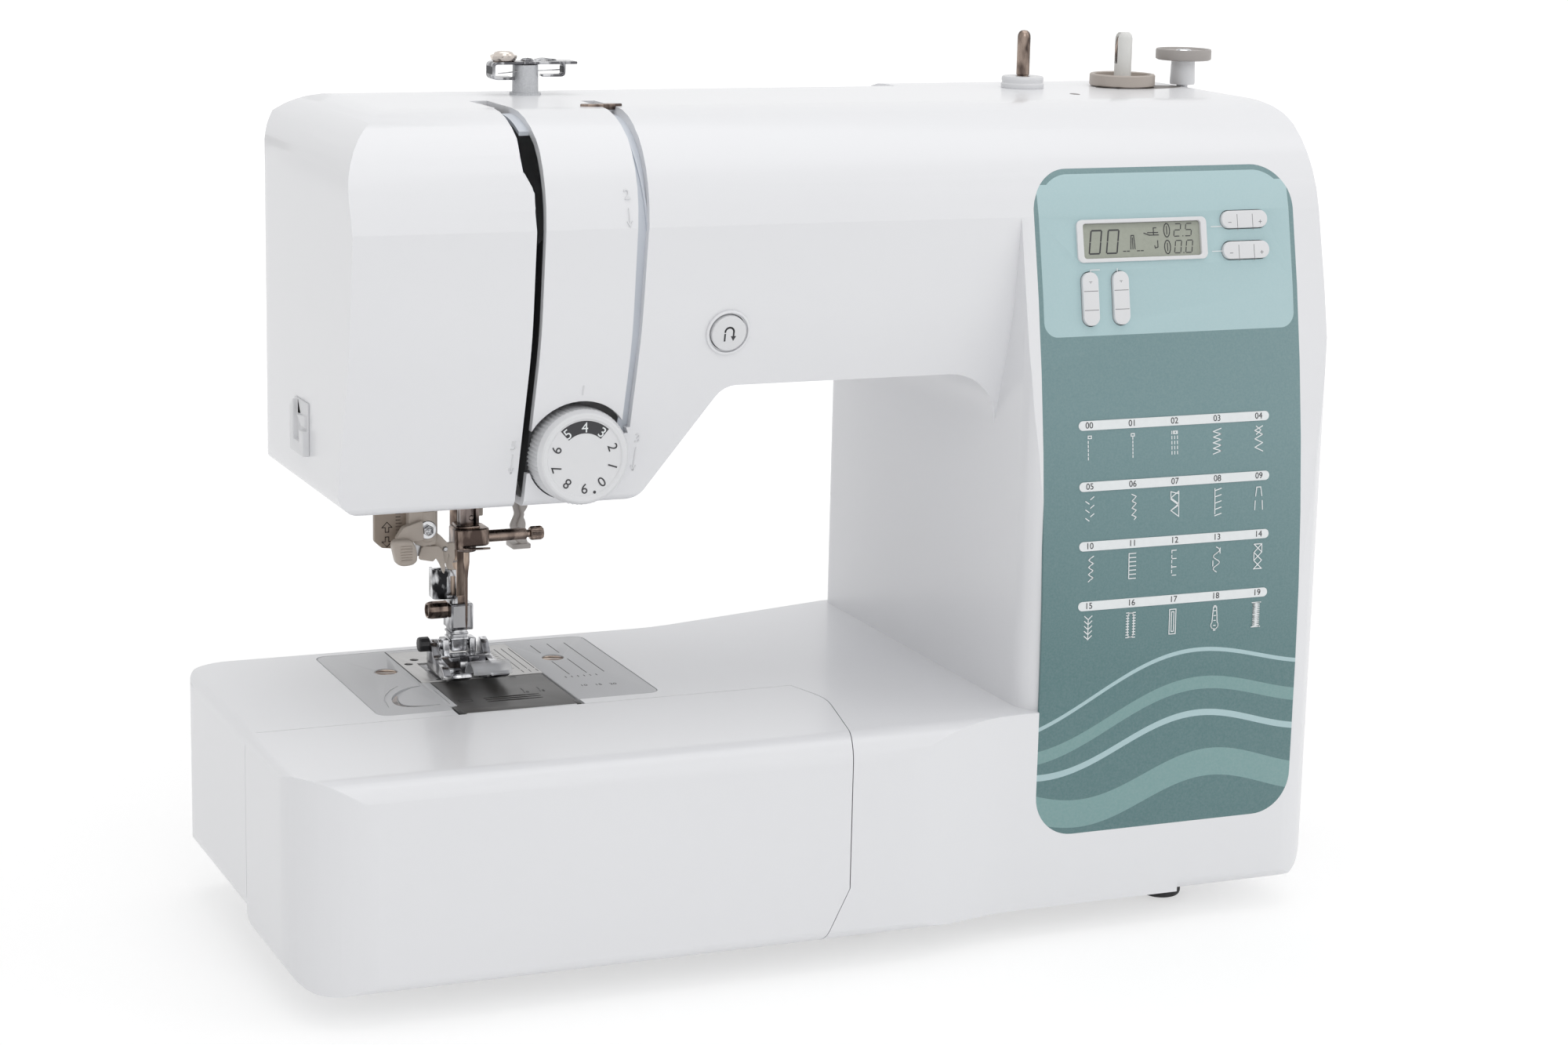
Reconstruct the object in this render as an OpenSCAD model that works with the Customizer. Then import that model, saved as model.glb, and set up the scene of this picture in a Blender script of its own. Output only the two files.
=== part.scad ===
// Computerised domestic sewing machine with a free arm and a slide-off flat bed box.
// Millimetres. +X runs from the needle to the handwheel, +Y to the back, +Z up.
// The origin is on the table, under the middle of the machine's outer box.

/* [Overall] */
// Length from the free arm's end to the handwheel's face
machine_l = 410; // [400:1:420]
// Depth from the accessory box's front to the back of the pillar
machine_d = 178; // [174:1:186]
// Height of the bed's top above the table
bed_z = 78; // [76:0.5:84]
// Height of the underside of the head
head_z = 150; // [148:0.5:156]
// Height of the underside of the arm
arm_z = 188; // [186:0.5:192]
// Height of the top of the arm
top_z = 274; // [270:0.5:282]
// Height of the base's underside above the table
base_z = 10; // [9:0.5:13]
// Height of the free arm's underside above the table
free_arm_z = 16; // [15:0.5:20]

/* [Housing] */
// Wall of the covers
wall = 2.6; // [2:0.1:3]
// Length of the pillar
pillar_l = 115.5; // [112:0.5:120]
// How far the handwheel stands out of the pillar
wheel_out = 46.5; // [44:0.5:52]
// Distance from the free arm's end to the head's left face
head_in = 24.5; // [20:0.5:28]
// Width of the head at its underside
head_w = 99; // [96:1:104]
// Width of the chamfer between the head and the arm
head_chamfer = 25; // [20:1:30]
// Radius of the front corner along the top
top_r = 43; // [38:1:46]
// Radius of the head's top corner in the front view
head_r = 24; // [18:1:34]
// Radius of the pillar's top corner in the front view
pillar_r = 7; // [5:1:20]
// Radius of the bulge of the front face
face_r = 680; // [620:10:800]
// Length of the accessory box
box_l = 186; // [180:1:190]
// Wall of the accessory box
box_wall = 2.2; // [1.8:0.1:3]
// Radius of the accessory box's front left corner
box_r = 25; // [20:1:30]
// Gap between the accessory box and the bed
box_gap = 0.3; // [0.2:0.05:0.5]
// Radius of the feet
foot_r = 7; // [6:0.5:9]
// Height of the rubber of the feet
foot_h = 6; // [5:0.5:8]

/* [Needle and bed] */
// Distance from the free arm's end to the needle
needle_in = 88; // [84:1:92]
// Distance from the accessory box's front to the needle
needle_back = 112; // [110:1:114]
// Width of the needle plate's cover
plate_w = 97; // [95:1:99]
// Depth of the needle plate's cover
plate_d = 80; // [78:1:81]
// Thickness of the plates in the bed
plate_t = 1.6; // [1.4:0.1:1.8]
// Width of the needle plate
steel_w = 43; // [42:0.5:45]
// Radius of the needle bar
bar_r = 3.2; // [3:0.1:3.4]
// Radius of the presser bar
presser_r = 2.9; // [2.6:0.1:3]
// Stroke of the needle bar
stroke = 30; // [28:0.5:31]
// Height of the needle's point above the bed when the needle is up
needle_up = 16; // [15:0.5:18]
// Radius of the bobbin
bobbin_r = 10.2; // [9.8:0.1:10.4]
// Height of the bobbin
bobbin_h = 11.5; // [11:0.1:12]
// Outer radius of the hook
hook_r = 16.4; // [16:0.1:16.6]

/* [Drive] */
// Radius of the upper shaft
shaft_r = 5; // [4:0.5:6]
// Radius of the lower shaft
lower_r = 4; // [3.5:0.5:5]
// Radius of the handwheel
wheel_r = 36; // [32:1:40]
// Radius of the timing pulleys
timing_r = 14; // [12:1:15]
// Radius of the belt pulley on the handwheel
belt_wheel_r = 28; // [24:1:30]
// Radius of the motor pulley
motor_pulley_r = 7; // [6:0.5:9]
// Radius of the motor
motor_r = 23; // [20:1:25]
// Length of the motor
motor_l = 52; // [44:1:56]

/* [Controls] */
// Width of the control panel
panel_w = 97.5; // [94:0.5:99]
// Height of the control panel
panel_h = 220; // [214:1:221]
// Thickness of the control panel
panel_t = 1.2; // [1:0.1:1.4]
// Length of a rocker key
key_l = 17.5; // [16:0.5:19]
// Width of a rocker key
key_w = 5.8; // [5:0.1:6.4]
// Width of the display's frame
bezel_w = 48.5; // [46:0.5:50]
// Height of the display's frame
bezel_h = 14; // [13:0.5:15]
// Radius of the tension dial
dial_r = 15.5; // [14:0.5:16]
// Radius of the reverse button
reverse_r = 5.8; // [5:0.1:7]

/* [Top] */
// Radius of the spool pin
spool_r = 2.3; // [2:0.1:3]
// Height of the spool pin above the arm
spool_up = 20; // [18:0.5:24]
// Radius of the bobbin winder's seat
seat_r = 11.6; // [11:0.1:12]
// Radius of the bobbin winder's shaft
winder_r = 3.05; // [2.9:0.05:3.2]
// Radius of the winder's stopper
stopper_r = 9.9; // [9:0.1:10.5]

/* [Clearances] */
// Gap between moving pieces and their openings
gap = 0.3; // [0.2:0.05:0.4]
// Radial clearance of a shaft in its bearing
run_gap = 0.05; // [0.03:0.01:0.1]

/* [Hidden] */
$fn = 48;

white = [0.93, 0.93, 0.94];
beige = [0.76, 0.71, 0.66];
steel = [0.62, 0.62, 0.63];
chrome = [0.8, 0.8, 0.82];
bronze = [0.45, 0.38, 0.34];
dark = [0.16, 0.16, 0.17];
teal = [0.34, 0.47, 0.47];

far = 600;
left_x = -machine_l / 2;
right_x = machine_l / 2;
front_y = -machine_d / 2;
rear_y = machine_d / 2;
head_x = left_x + head_in;
pillar_x1 = right_x - wheel_out;
pillar_x0 = pillar_x1 - pillar_l;
box_x1 = left_x + box_l;
needle_x = left_x + needle_in;
needle_y = front_y + needle_back;

free_front = needle_y - 46;
free_rear = needle_y + 44;
seam_y = needle_y + 8;
head_seam_y = needle_y - 33;
pillar_front = front_y + 8;
arm_rear = needle_y + 47;
corner_r = 18;
end_r = 34;

hook_x = needle_x + 1;
hook_y = needle_y - 18.5;
shaft_y = needle_y + 5;
shaft_z = top_z - 68;
lower_z = free_arm_z + 22;
hook_gear_r = (shaft_y - hook_y - gap) / 2;
floor_z = base_z + 3;
frame_z = floor_z + 4;
disc_x = needle_x + 12;
disc_r = 20;
crank_r = stroke / 2;
belt_x = pillar_x0 + 57;
motor_y = shaft_y - 48;
motor_z = frame_z + motor_r + 4;
motor_x = belt_x + 13 - motor_l;
slot_x = needle_x - 4;
slot_w = 3;
slot_rear = needle_y - 20;
column_x = needle_x + 31.5;
dial_x = needle_x + 13.2;
dial_z = head_z + 17.5;
dial_front = needle_y - 80;
dial_depth = 14;
dial_bore = 2.5;
presser_x = needle_x + 0.5;
presser_y = needle_y + 11;
threader_x = needle_x - 16.6;
threader_y = needle_y - 7;
take_y = needle_y + 20;
take_z = shaft_z + 16;
take_reach = 88;
rib_y = needle_y + 25.5;
panel_x = pillar_x0 + 53.2;
panel_z = bed_z + 66.8;
lcd_x = panel_x - 9.5;
keys_x = panel_x + 29.3;
lcd_z = bed_z + 153.8;
reverse_x = needle_x + 59.6;
reverse_z = head_z + 55.9;
winder_x = pillar_x0 + 82.6;
spool_x = pillar_x0 + 43;
stopper_x = winder_x + 24.4;
guide_x = needle_x + 19.8;
switch_y = shaft_y - 40;
socket_x = pillar_x1 - 13;

face_start = bed_z + 10;
crease_z = top_z - 34;
face_turn = asin((crease_z - face_start) / face_r);
face_corner_z = face_start + face_r * tan(face_turn / 2);
function face_y(z) = pillar_front + face_r - sqrt(face_r * face_r - pow(max(0, z - face_start), 2));
function face_tilt(z) = asin(max(0, z - face_start) / face_r);
top_front_y = face_y(crease_z) + tan(face_turn) * (top_z - crease_z);
head_front_y = needle_y - 66;
lean_y = needle_y - 83;
lean_z = crease_z - 35;
function arm_face_y(z) = z < lean_z
  ? head_front_y + (lean_y - head_front_y) * (z - head_z) / (lean_z - head_z)
  : lean_y + (face_y(crease_z) - lean_y) * (z - lean_z) / (crease_z - lean_z);

function unit(v) = v / norm(v);
function turn_steps(turn, r) = max(2, ceil(turn / (r > 100 ? 2.5 : r > 12 ? 9 : 15)));
// Points of an arc of radius r that replaces the corner b between a and c.
function corner(a, b, c, r) =
  let (u = unit(a - b), v = unit(c - b), half = acos(u * v) / 2)
  let (mid = b + unit(u + v) * r / sin(half), s = r / tan(half))
  let (p = b + u * s - mid, q = b + v * s - mid)
  let (a0 = atan2(p.y, p.x), swing = atan2(q.y, q.x) - a0)
  let (d = swing > 180 ? swing - 360 : swing < -180 ? swing + 360 : swing)
  let (n = turn_steps(abs(d), r))
  [for (i = [0:n]) mid + r * [cos(a0 + d * i / n), sin(a0 + d * i / n)]];
function xy(p) = [p.x, p.y];
// Outline through points [x, y, radius].
function rounded(pts) = let (n = len(pts)) [for (i = [0:n - 1])
  each pts[i][2] > 0
    ? corner(xy(pts[(i + n - 1) % n]), xy(pts[i]), xy(pts[(i + 1) % n]), pts[i][2])
    : [xy(pts[i])]];

// Front view of the housing in X and Z, with the throat under the arm.
front_outline = rounded([
  [head_x, head_z, 9],
  [head_x, top_z, head_r],
  [pillar_x1 - 4, top_z, pillar_r],
  [pillar_x1, bed_z - 8, 60],
  [pillar_x1 - 3, base_z, 14],
  [box_x1 - 20, base_z, 0],
  [box_x1 - 20, free_arm_z, 0],
  [left_x, free_arm_z, 8],
  [left_x, bed_z, 4],
  [pillar_x0, bed_z, 18],
  [pillar_x0, arm_z, 20],
  [head_x + head_w + head_chamfer, arm_z, 8],
  [head_x + head_w, head_z, 8]]);

// Side views in Y and Z.
arm_profile = rounded([
  [head_front_y, head_z, 4],
  [lean_y, lean_z, 110],
  [face_y(crease_z), crease_z, 0],
  [top_front_y, top_z, top_r],
  [arm_rear, top_z, end_r],
  [arm_rear, head_z, 12]]);
pillar_profile = rounded([
  [pillar_front, base_z, 5],
  [pillar_front, face_corner_z, face_r],
  [top_front_y, top_z, top_r],
  [rear_y - 12, top_z, end_r],
  [rear_y, bed_z + 60, 80],
  [rear_y, base_z, 8]]);
bed_profile = rounded([
  [front_y, base_z, 4],
  [front_y, bed_z, 9],
  [rear_y, bed_z, 3],
  [rear_y, base_z, 3]]);

// Plan views in X and Y.
arm_plan = rounded([
  [head_x, front_y, 0],
  [pillar_x1, front_y, 0],
  [pillar_x1, arm_rear, corner_r],
  [head_x, arm_rear, end_r]]);
pillar_plan = rounded([
  [pillar_x0, pillar_front, 12],
  [pillar_x1, pillar_front, corner_r],
  [pillar_x1, rear_y, corner_r],
  [pillar_x0, rear_y, 8]]);
bed_plan = rounded([
  [left_x, front_y, box_r],
  [box_x1 + 22, front_y, 50],
  [box_x1 + 52, pillar_front, 60],
  [pillar_x0 + 60, pillar_front, 0],
  [pillar_x0 + 60, rear_y, 0],
  [pillar_x0 + 10, rear_y, 30],
  [needle_x + 84, free_rear, 60],
  [left_x, free_rear, 17]]);

module along_y(pts, inset) rotate([90, 0, 0]) linear_extrude(2 * far, center = true)
  offset(delta = -inset) polygon(pts);
module along_x(pts, inset) rotate([90, 0, 90]) linear_extrude(2 * far, center = true)
  offset(delta = -inset) polygon(pts);
module along_z(pts, inset) linear_extrude(2 * far, center = true)
  offset(delta = -inset) polygon(pts);
module span(x, y, z) translate([x[0], y[0], z[0]]) cube([x[1] - x[0], y[1] - y[0], z[1] - z[0]]);
module rod_x(x, r) translate([x[0], 0, 0]) rotate([0, 90, 0]) cylinder(h = x[1] - x[0], r = r);
module rod_y(y, r) translate([0, y[0], 0]) rotate([-90, 0, 0]) cylinder(h = y[1] - y[0], r = r);
module rod_z(z, r) translate([0, 0, z[0]]) cylinder(h = z[1] - z[0], r = r);
module rounded_rect(w, h, r) {
  square([w - 2 * r, h], center = true);
  square([w, h - 2 * r], center = true);
  for (x = [-1, 1], y = [-1, 1]) translate([x * (w / 2 - r), y * (h / 2 - r)]) circle(r);
}

box_plan = rounded([
  [left_x, free_front - box_gap, 0],
  [left_x, front_y, box_r],
  [box_x1 - 4 - box_gap, front_y, 0],
  [box_x1 + 7 - box_gap, free_front - 19, 30],
  [box_x1 + 2 - box_gap, free_front - box_gap, 0]]);
box_front = rounded([
  [left_x, base_z, 9],
  [left_x, bed_z, 3],
  [box_x1 + 9, bed_z, 0],
  [box_x1 + 9, base_z + 36, 6],
  [box_x1 - 4, base_z + 18, 10],
  [box_x1 - 13, base_z, 4]]);
box_side = rounded([
  [front_y, base_z, 4],
  [front_y, bed_z, 9],
  [free_front + 9, bed_z, 0],
  [free_front + 9, base_z, 0]]);
module box_form(inset) intersection() {
  along_z(box_plan, inset);
  along_y(box_front, inset);
  along_x(box_side, inset);
}
// Solid form of the housing, set in by a wall.
module form(inset) intersection() {
  along_y(front_outline, inset);
  union() {
    intersection() {
      along_x(arm_profile, inset);
      along_z(arm_plan, inset);
    }
    intersection() {
      along_x(pillar_profile, inset);
      along_z(pillar_plan, inset);
    }
    difference() {
      intersection() {
        along_x(bed_profile, inset);
        along_z(bed_plan, inset);
      }
      box_form(-inset - box_gap);
    }
  }
}
// Everything in front of the seam between the two housing halves.
module front_side() {
  span([head_x + 22, far], [-far, seam_y], [-far, far]);
  span([-far, far], [-far, seam_y], [-far, arm_z - 60]);
  linear_extrude(far) polygon(rounded([
    [head_x - far, -far, 0], [far, -far, 0], [far, seam_y, 0],
    [head_x + 20, seam_y, 20], [head_x + 1, head_seam_y, 14], [head_x - far, head_seam_y, 0]]));
}

function arm_tilt(z) = lookup(z, [
  [lean_z - 11, -atan((head_front_y - lean_y) / (lean_z - head_z))],
  [lean_z + 11, -atan((lean_y - face_y(crease_z)) / (crease_z - lean_z))]]);
// Local frames on the front faces: X to the right, Z up the face, -Y out of it.
module on_face(x, z) translate([x, face_y(z), z]) rotate([-face_tilt(z), 0, 0]) children();
module on_arm(x, z) translate([x, arm_face_y(z), z]) rotate([-arm_tilt(z), 0, 0]) children();
module prism_y(y) translate([0, y[1], 0]) rotate([90, 0, 0]) linear_extrude(y[1] - y[0]) children();
module prism_x(x) translate([x[0], 0, 0]) rotate([90, 0, 90]) linear_extrude(x[1] - x[0]) children();
module slot_2d(l, r) {
  square([l, 2 * r], center = true);
  for (s = [-1, 1]) translate([s * l / 2, 0]) circle(r);
}
module key_2d(grow) rounded_rect(key_l + 2 * grow, key_w + 2 * grow, key_w / 2 + grow - 0.01);
module lcd_2d(grow) rounded_rect(bezel_w + 2 * grow, bezel_h + 2 * grow, 2 + grow);
module place_keys() {
  on_face(keys_x, lcd_z + 5.5) children();
  on_face(keys_x, lcd_z - 4.5) children();
  on_face(lcd_x - 20.5, lcd_z - 18.5) rotate([0, 90, 0]) children();
  on_face(lcd_x - 9.2, lcd_z - 18.5) rotate([0, 90, 0]) children();
}

module shell() difference() {
  form(0);
  form(wall);
  span([-far, far], [-far, far], [-far, floor_z]);
}
plate_x = needle_x + 6.5;
steel_x = needle_x + 4.5;
plate_y = needle_y;
steel_front = needle_y - 4;
module plate_2d(grow) {
  translate([plate_x, plate_y]) rounded_rect(plate_w + 2 * grow, plate_d + 2 * grow, 4 + grow);
  translate([steel_x - steel_w / 2 - grow, free_front - 1 - grow])
    square([steel_w + 2 * grow, steel_front - free_front + 1 + 2 * grow]);
}
module bed_opening() {
  translate([0, 0, bed_z - plate_t]) linear_extrude(10) plate_2d(gap);
  translate([0, 0, bed_z - 10]) linear_extrude(10) plate_2d(-2.5);
}
module head_opening() span([needle_x - 36, needle_x + 31], [needle_y - 18, needle_y + 41],
  [head_z - 5, head_z + 6]);
module thread_slots() {
  translate([slot_x, 0, 0]) prism_y([-far, slot_rear]) polygon([[-slot_w / 2, head_z - 1], [-slot_w / 2, top_z - 28],
    [-0.9, top_z - 22.5], [-3.4, top_z - 17.5], [-3, top_z - 12], [-2, top_z - 7], [-2, top_z + 5],
    [4.2, top_z + 5], [4, top_z - 9], [3.1, top_z - 17], [slot_w / 2, top_z - 34], [slot_w / 2, head_z - 1]]);
  translate([column_x, 0, 0]) prism_y([-far, slot_rear - 5]) polygon([[-4.1, dial_z + 8], [-4.1, top_z - 34],
    [-2.3, top_z - 17], [-1.4, top_z - 8], [-1.3, top_z + 5], [4.2, top_z + 5], [2.6, top_z - 5],
    [1.1, top_z - 19], [-0.5, top_z - 35], [-1.2, dial_z + 32], [-1.2, dial_z + 8]]);
  translate([dial_x, 0, dial_z]) rod_y([-far, needle_y - 30], dial_r + 0.4);
  intersection() {
    translate([dial_x, 0, dial_z]) rod_y([-far, needle_y - 30], dial_r + 2.2);
    union() {
      span([slot_x, dial_x], [-far, far], [dial_z - 6, top_z]);
      span([dial_x - 1, column_x - 1.3], [-far, far], [dial_z + 6, top_z]);
    }
  }
}
module panel_recess() intersection() {
  panel_band(-1);
  prism_y([-far, pillar_front + 40]) translate([panel_x, panel_z]) rounded_rect(panel_w, panel_h, 14);
}
// Layer of the pillar's curved front face from a depth outwards.
module panel_band(out) difference() {
  along_x(pillar_profile, out);
  along_x(pillar_profile, panel_t);
}
module key_holes() {
  place_keys() prism_y([-5, 8]) key_2d(gap);
  on_face(lcd_x, lcd_z) prism_y([-5, 8]) lcd_2d(0);
}
module key_mounts() intersection() {
  place_keys() prism_y([panel_t, 5.4]) key_2d(2.2);
  union() {
    form(panel_t);
    span([pillar_x0, pillar_x1], [pillar_front, pillar_front + 40], [head_z, top_z]);
  }
}
module key_pins(r) place_keys() translate([0, 3.4, 0]) rod_z([-key_w / 2 - 1.6, key_w / 2 + 1.6], r);
module top_holes() {
  translate([winder_x + 1.5, needle_y, top_z - 10]) linear_extrude(20) slot_2d(6, 5.4);
  translate([spool_x, needle_y, 0]) rod_z([top_z - 10, top_z + 5], spool_r + 0.15);
  translate([stopper_x, needle_y, 0]) rod_z([top_z - 20, top_z + 5], 2.05);
}
module front_cover() color(white) difference() {
  union() {
    intersection() {
      shell();
      front_side();
    }
    key_mounts();
    on_arm(reverse_x, reverse_z) prism_y([1.5, 5]) circle(reverse_r + 2.2);
  }
  thread_slots();
  bed_opening();
  head_opening();
  panel_recess();
  key_holes();
  key_pins(0.85);
  top_holes();
  on_arm(reverse_x, reverse_z) prism_y([-3, 9]) circle(reverse_r + gap);
  on_arm(reverse_x, reverse_z) prism_y([-3, 0.6]) circle(reverse_r + 1.1);
  wheel_hole();
  socket_hole();
}
module wheel_hole() translate([0, shaft_y, shaft_z]) rod_x([pillar_x1 - 40, pillar_x1 + 5], 12.4);
module socket_hole() span([socket_x - 3, pillar_x1 + 5], [switch_y - 14, switch_y + 38],
  [base_z + 15, base_z + 65]);

handle_x = [needle_x + 78, needle_x + 198];
handle_y = arm_rear - 9;
handle_z = top_z - 22;
module rear_cover() color(white) difference() {
  union() {
    difference() {
      shell();
      front_side();
    }
    intersection() {
      form(0);
      span([handle_x[0] - wall, handle_x[1] + wall], [arm_rear - 20 - wall, far],
        [handle_z - 30 - wall, handle_z + 10 + wall]);
    }
  }
  span(handle_x, [arm_rear - 20, far], [handle_z - 30, handle_z + 10]);
  translate([0, handle_y, handle_z]) rod_x([handle_x[0] - 2, handle_x[1] + 2], 2.6);
  bed_opening();
  head_opening();
  wheel_hole();
  span([needle_x + 58, needle_x + 86], [free_rear - 8, free_rear + 5], [lower_z - 2, lower_z + 6]);
  for (i = [0:7]) span([pillar_x0 + 30, pillar_x0 + 66], [rear_y - 15, far],
    [bed_z - 40 + 6 * i, bed_z - 37.5 + 6 * i]);
}
module carry_handle() color(white) {
  for (x = [handle_x[0] + 1.5, handle_x[1] - 7.5])
    span([x, x + 6], [handle_y - 4, handle_y + 4], [handle_z - 26, handle_z + 4]);
  span([handle_x[0] + 1.5, handle_x[1] - 1.5], [handle_y - 4, handle_y + 4], [handle_z - 27, handle_z - 17]);
  translate([0, handle_y, handle_z]) rod_x([handle_x[0] - 1.7, handle_x[0] + 4], 2.5);
  translate([0, handle_y, handle_z]) rod_x([handle_x[1] - 4, handle_x[1] + 1.7], 2.5);
}

foot_at = [[box_x1 + 14, pillar_front + 27], [pillar_x0 + 69, pillar_front + 27],
  [box_x1 + 14, free_rear - 12], [pillar_x0 + 69, rear_y - 17]];
screw_at = [[box_x1 + 34, pillar_front + 30], [pillar_x1 - 36, pillar_front + 30],
  [box_x1 + 34, rear_y - 30], [pillar_x1 - 36, rear_y - 30]];
module base_tray() color(white) difference() {
  union() {
    intersection() {
      form(0);
      span([-far, far], [-far, far], [-far, floor_z]);
    }
    for (p = foot_at) translate(p) rod_z([foot_h - 1.5, base_z], foot_r + 1.5);
  }
  for (p = foot_at) translate(p) rod_z([0, foot_h], foot_r);
  for (p = screw_at) translate(p) {
    rod_z([base_z - 1, floor_z + 1], 1.6);
    rod_z([base_z - 1, base_z + 1.6], 3.3);
  }
}
module feet() color(dark) for (p = foot_at) translate([p.x, p.y, 0]) {
  cylinder(h = 1, r1 = foot_r - 1, r2 = foot_r);
  rod_z([1, foot_h], foot_r);
}
module screws() color(steel) for (p = screw_at) translate([p.x, p.y, 0]) difference() {
  union() {
    rod_z([base_z + 0.1, base_z + 1.6], 3);
    rod_z([base_z + 1.6, frame_z - 0.2], 1.5);
  }
  for (a = [0, 90]) rotate(a) span([-2, 2], [-0.35, 0.35], [base_z, base_z + 0.9]);
}

module accessory_box() color(white) difference() {
  box_form(0);
  box_form(box_wall);
  span([left_x + 14, box_x1 - 12], [free_front - 6, free_front + 5], [base_z + 9, bed_z - 9]);
}

module plate_cover() color(white) difference() {
  translate([0, 0, bed_z - plate_t]) linear_extrude(plate_t) difference() {
    translate([plate_x, plate_y]) rounded_rect(plate_w, plate_d, 4);
    translate([steel_x - steel_w / 2, free_front]) square([steel_w, steel_front - free_front]);
  }
  translate([steel_x, steel_front + 20.5, bed_z - 1]) linear_extrude(2) square([steel_w, 41], center = true);
  span([needle_x - 14, needle_x + 14], [steel_front - 1, steel_front + 28], [bed_z - 5, bed_z]);
  for (p = [[-24.6, 13.5], [36, 15]]) translate([needle_x + p.x, needle_y + p.y, 0])
    rod_z([bed_z - 0.5, bed_z + 1], 3.6);
}
feed_rows = [-9.3, 0, 9.3];
module needle_plate() color(steel) difference() {
  translate([steel_x, steel_front + 20.5, bed_z - 1]) linear_extrude(1) difference() {
    square([steel_w, 41], center = true);
    translate([needle_x - steel_x, needle_y - steel_front - 20.5]) slot_2d(5.5, 0.9);
  }
  for (x = feed_rows) translate([needle_x + x, needle_y + (x == 0 ? 12.5 : 9.5), bed_z - 2])
    linear_extrude(4) square([3.6, x == 0 ? 17 : 23], center = true);
  for (p = [[-14, 21], [-10.5, 26], [13, 22]]) translate([needle_x + p.x, needle_y + p.y, 0])
    rod_z([bed_z - 2, bed_z + 1], 1.5);
}
lid_x = [steel_x - steel_w / 2 + gap, steel_x + steel_w / 2 - gap];
lid_hinge_y = steel_front - gap - plate_t / 2;
module bobbin_cover() color([0.3, 0.3, 0.32, 0.6]) difference() {
  union() {
    span(lid_x, [free_front, lid_hinge_y], [bed_z - plate_t, bed_z]);
    translate([0, lid_hinge_y, bed_z - plate_t / 2]) rod_x(lid_x, plate_t / 2);
  }
  span([steel_x + 13, steel_x + 18], [free_front + 3, free_front + 7], [bed_z - 1, bed_z + 1]);
}
module bobbin_case() color(dark) translate([hook_x, hook_y, 0]) {
  difference() {
    union() {
      rod_z([bed_z - 21, bed_z - 4.5], hook_r - 2.1);
      rod_z([bed_z - 4.7, bed_z - 3.4], hook_r);
    }
    rod_z([bed_z - 18.3, bed_z], bobbin_r + 0.9);
  }
  span([-21, -bobbin_r - 3], [-2.5, 2.5], [bed_z - 3.6, bed_z - plate_t]);
}
module hook_race() color(steel) translate([hook_x, hook_y, 0]) {
  difference() {
    rod_z([bed_z - 24, bed_z - 5], hook_r);
    rod_z([bed_z - 21.3, bed_z], hook_r - 1.8);
    rotate(40) span([0, 30], [-3, 3], [bed_z - 12, bed_z - 9]);
  }
  rod_z([lower_z - 10, bed_z - 23], 3);
  rod_z([lower_z - 6, lower_z + 6], hook_gear_r);
}
module bobbin() color([0.85, 0.87, 0.88, 0.5]) translate([hook_x, hook_y, bed_z - 18]) difference() {
  union() {
    cylinder(h = 1.2, r = bobbin_r);
    cylinder(h = bobbin_h, r = 4.6);
    translate([0, 0, bobbin_h - 1.2]) cylinder(h = 1.2, r = bobbin_r);
  }
  translate([0, 0, -1]) cylinder(h = bobbin_h + 2, r = 3.1);
}
module feed_dogs() color(steel) {
  span([needle_x - 12, needle_x + 12], [needle_y + 3, needle_y + 21], [bed_z - 8, bed_z - 5]);
  for (x = feed_rows) difference() {
    span([needle_x + x - 1.3, needle_x + x + 1.3], [needle_y + (x == 0 ? 6 : 0), needle_y + (x == 0 ? 19 : 19.5)],
      [bed_z - 5, bed_z - 0.2]);
    for (i = [0:12]) translate([needle_x + x, needle_y + 0.8 + 1.5 * i, bed_z - 0.2]) rotate([45, 0, 0])
      cube([4, 0.8, 0.8], center = true);
  }
}
module feed_lever() color(dark) translate([needle_x + 65, 0, lower_z + 2]) {
  span([-5, 5], [free_rear + gap, free_rear + 3.5], [-6, 6]);
  span([-3, 3], [free_rear - 4, free_rear + 1], [-3.6, 3.6]);
  span([-6, 6], [free_rear - wall - gap - 2, free_rear - wall - gap], [-6, 6]);
}

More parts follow.
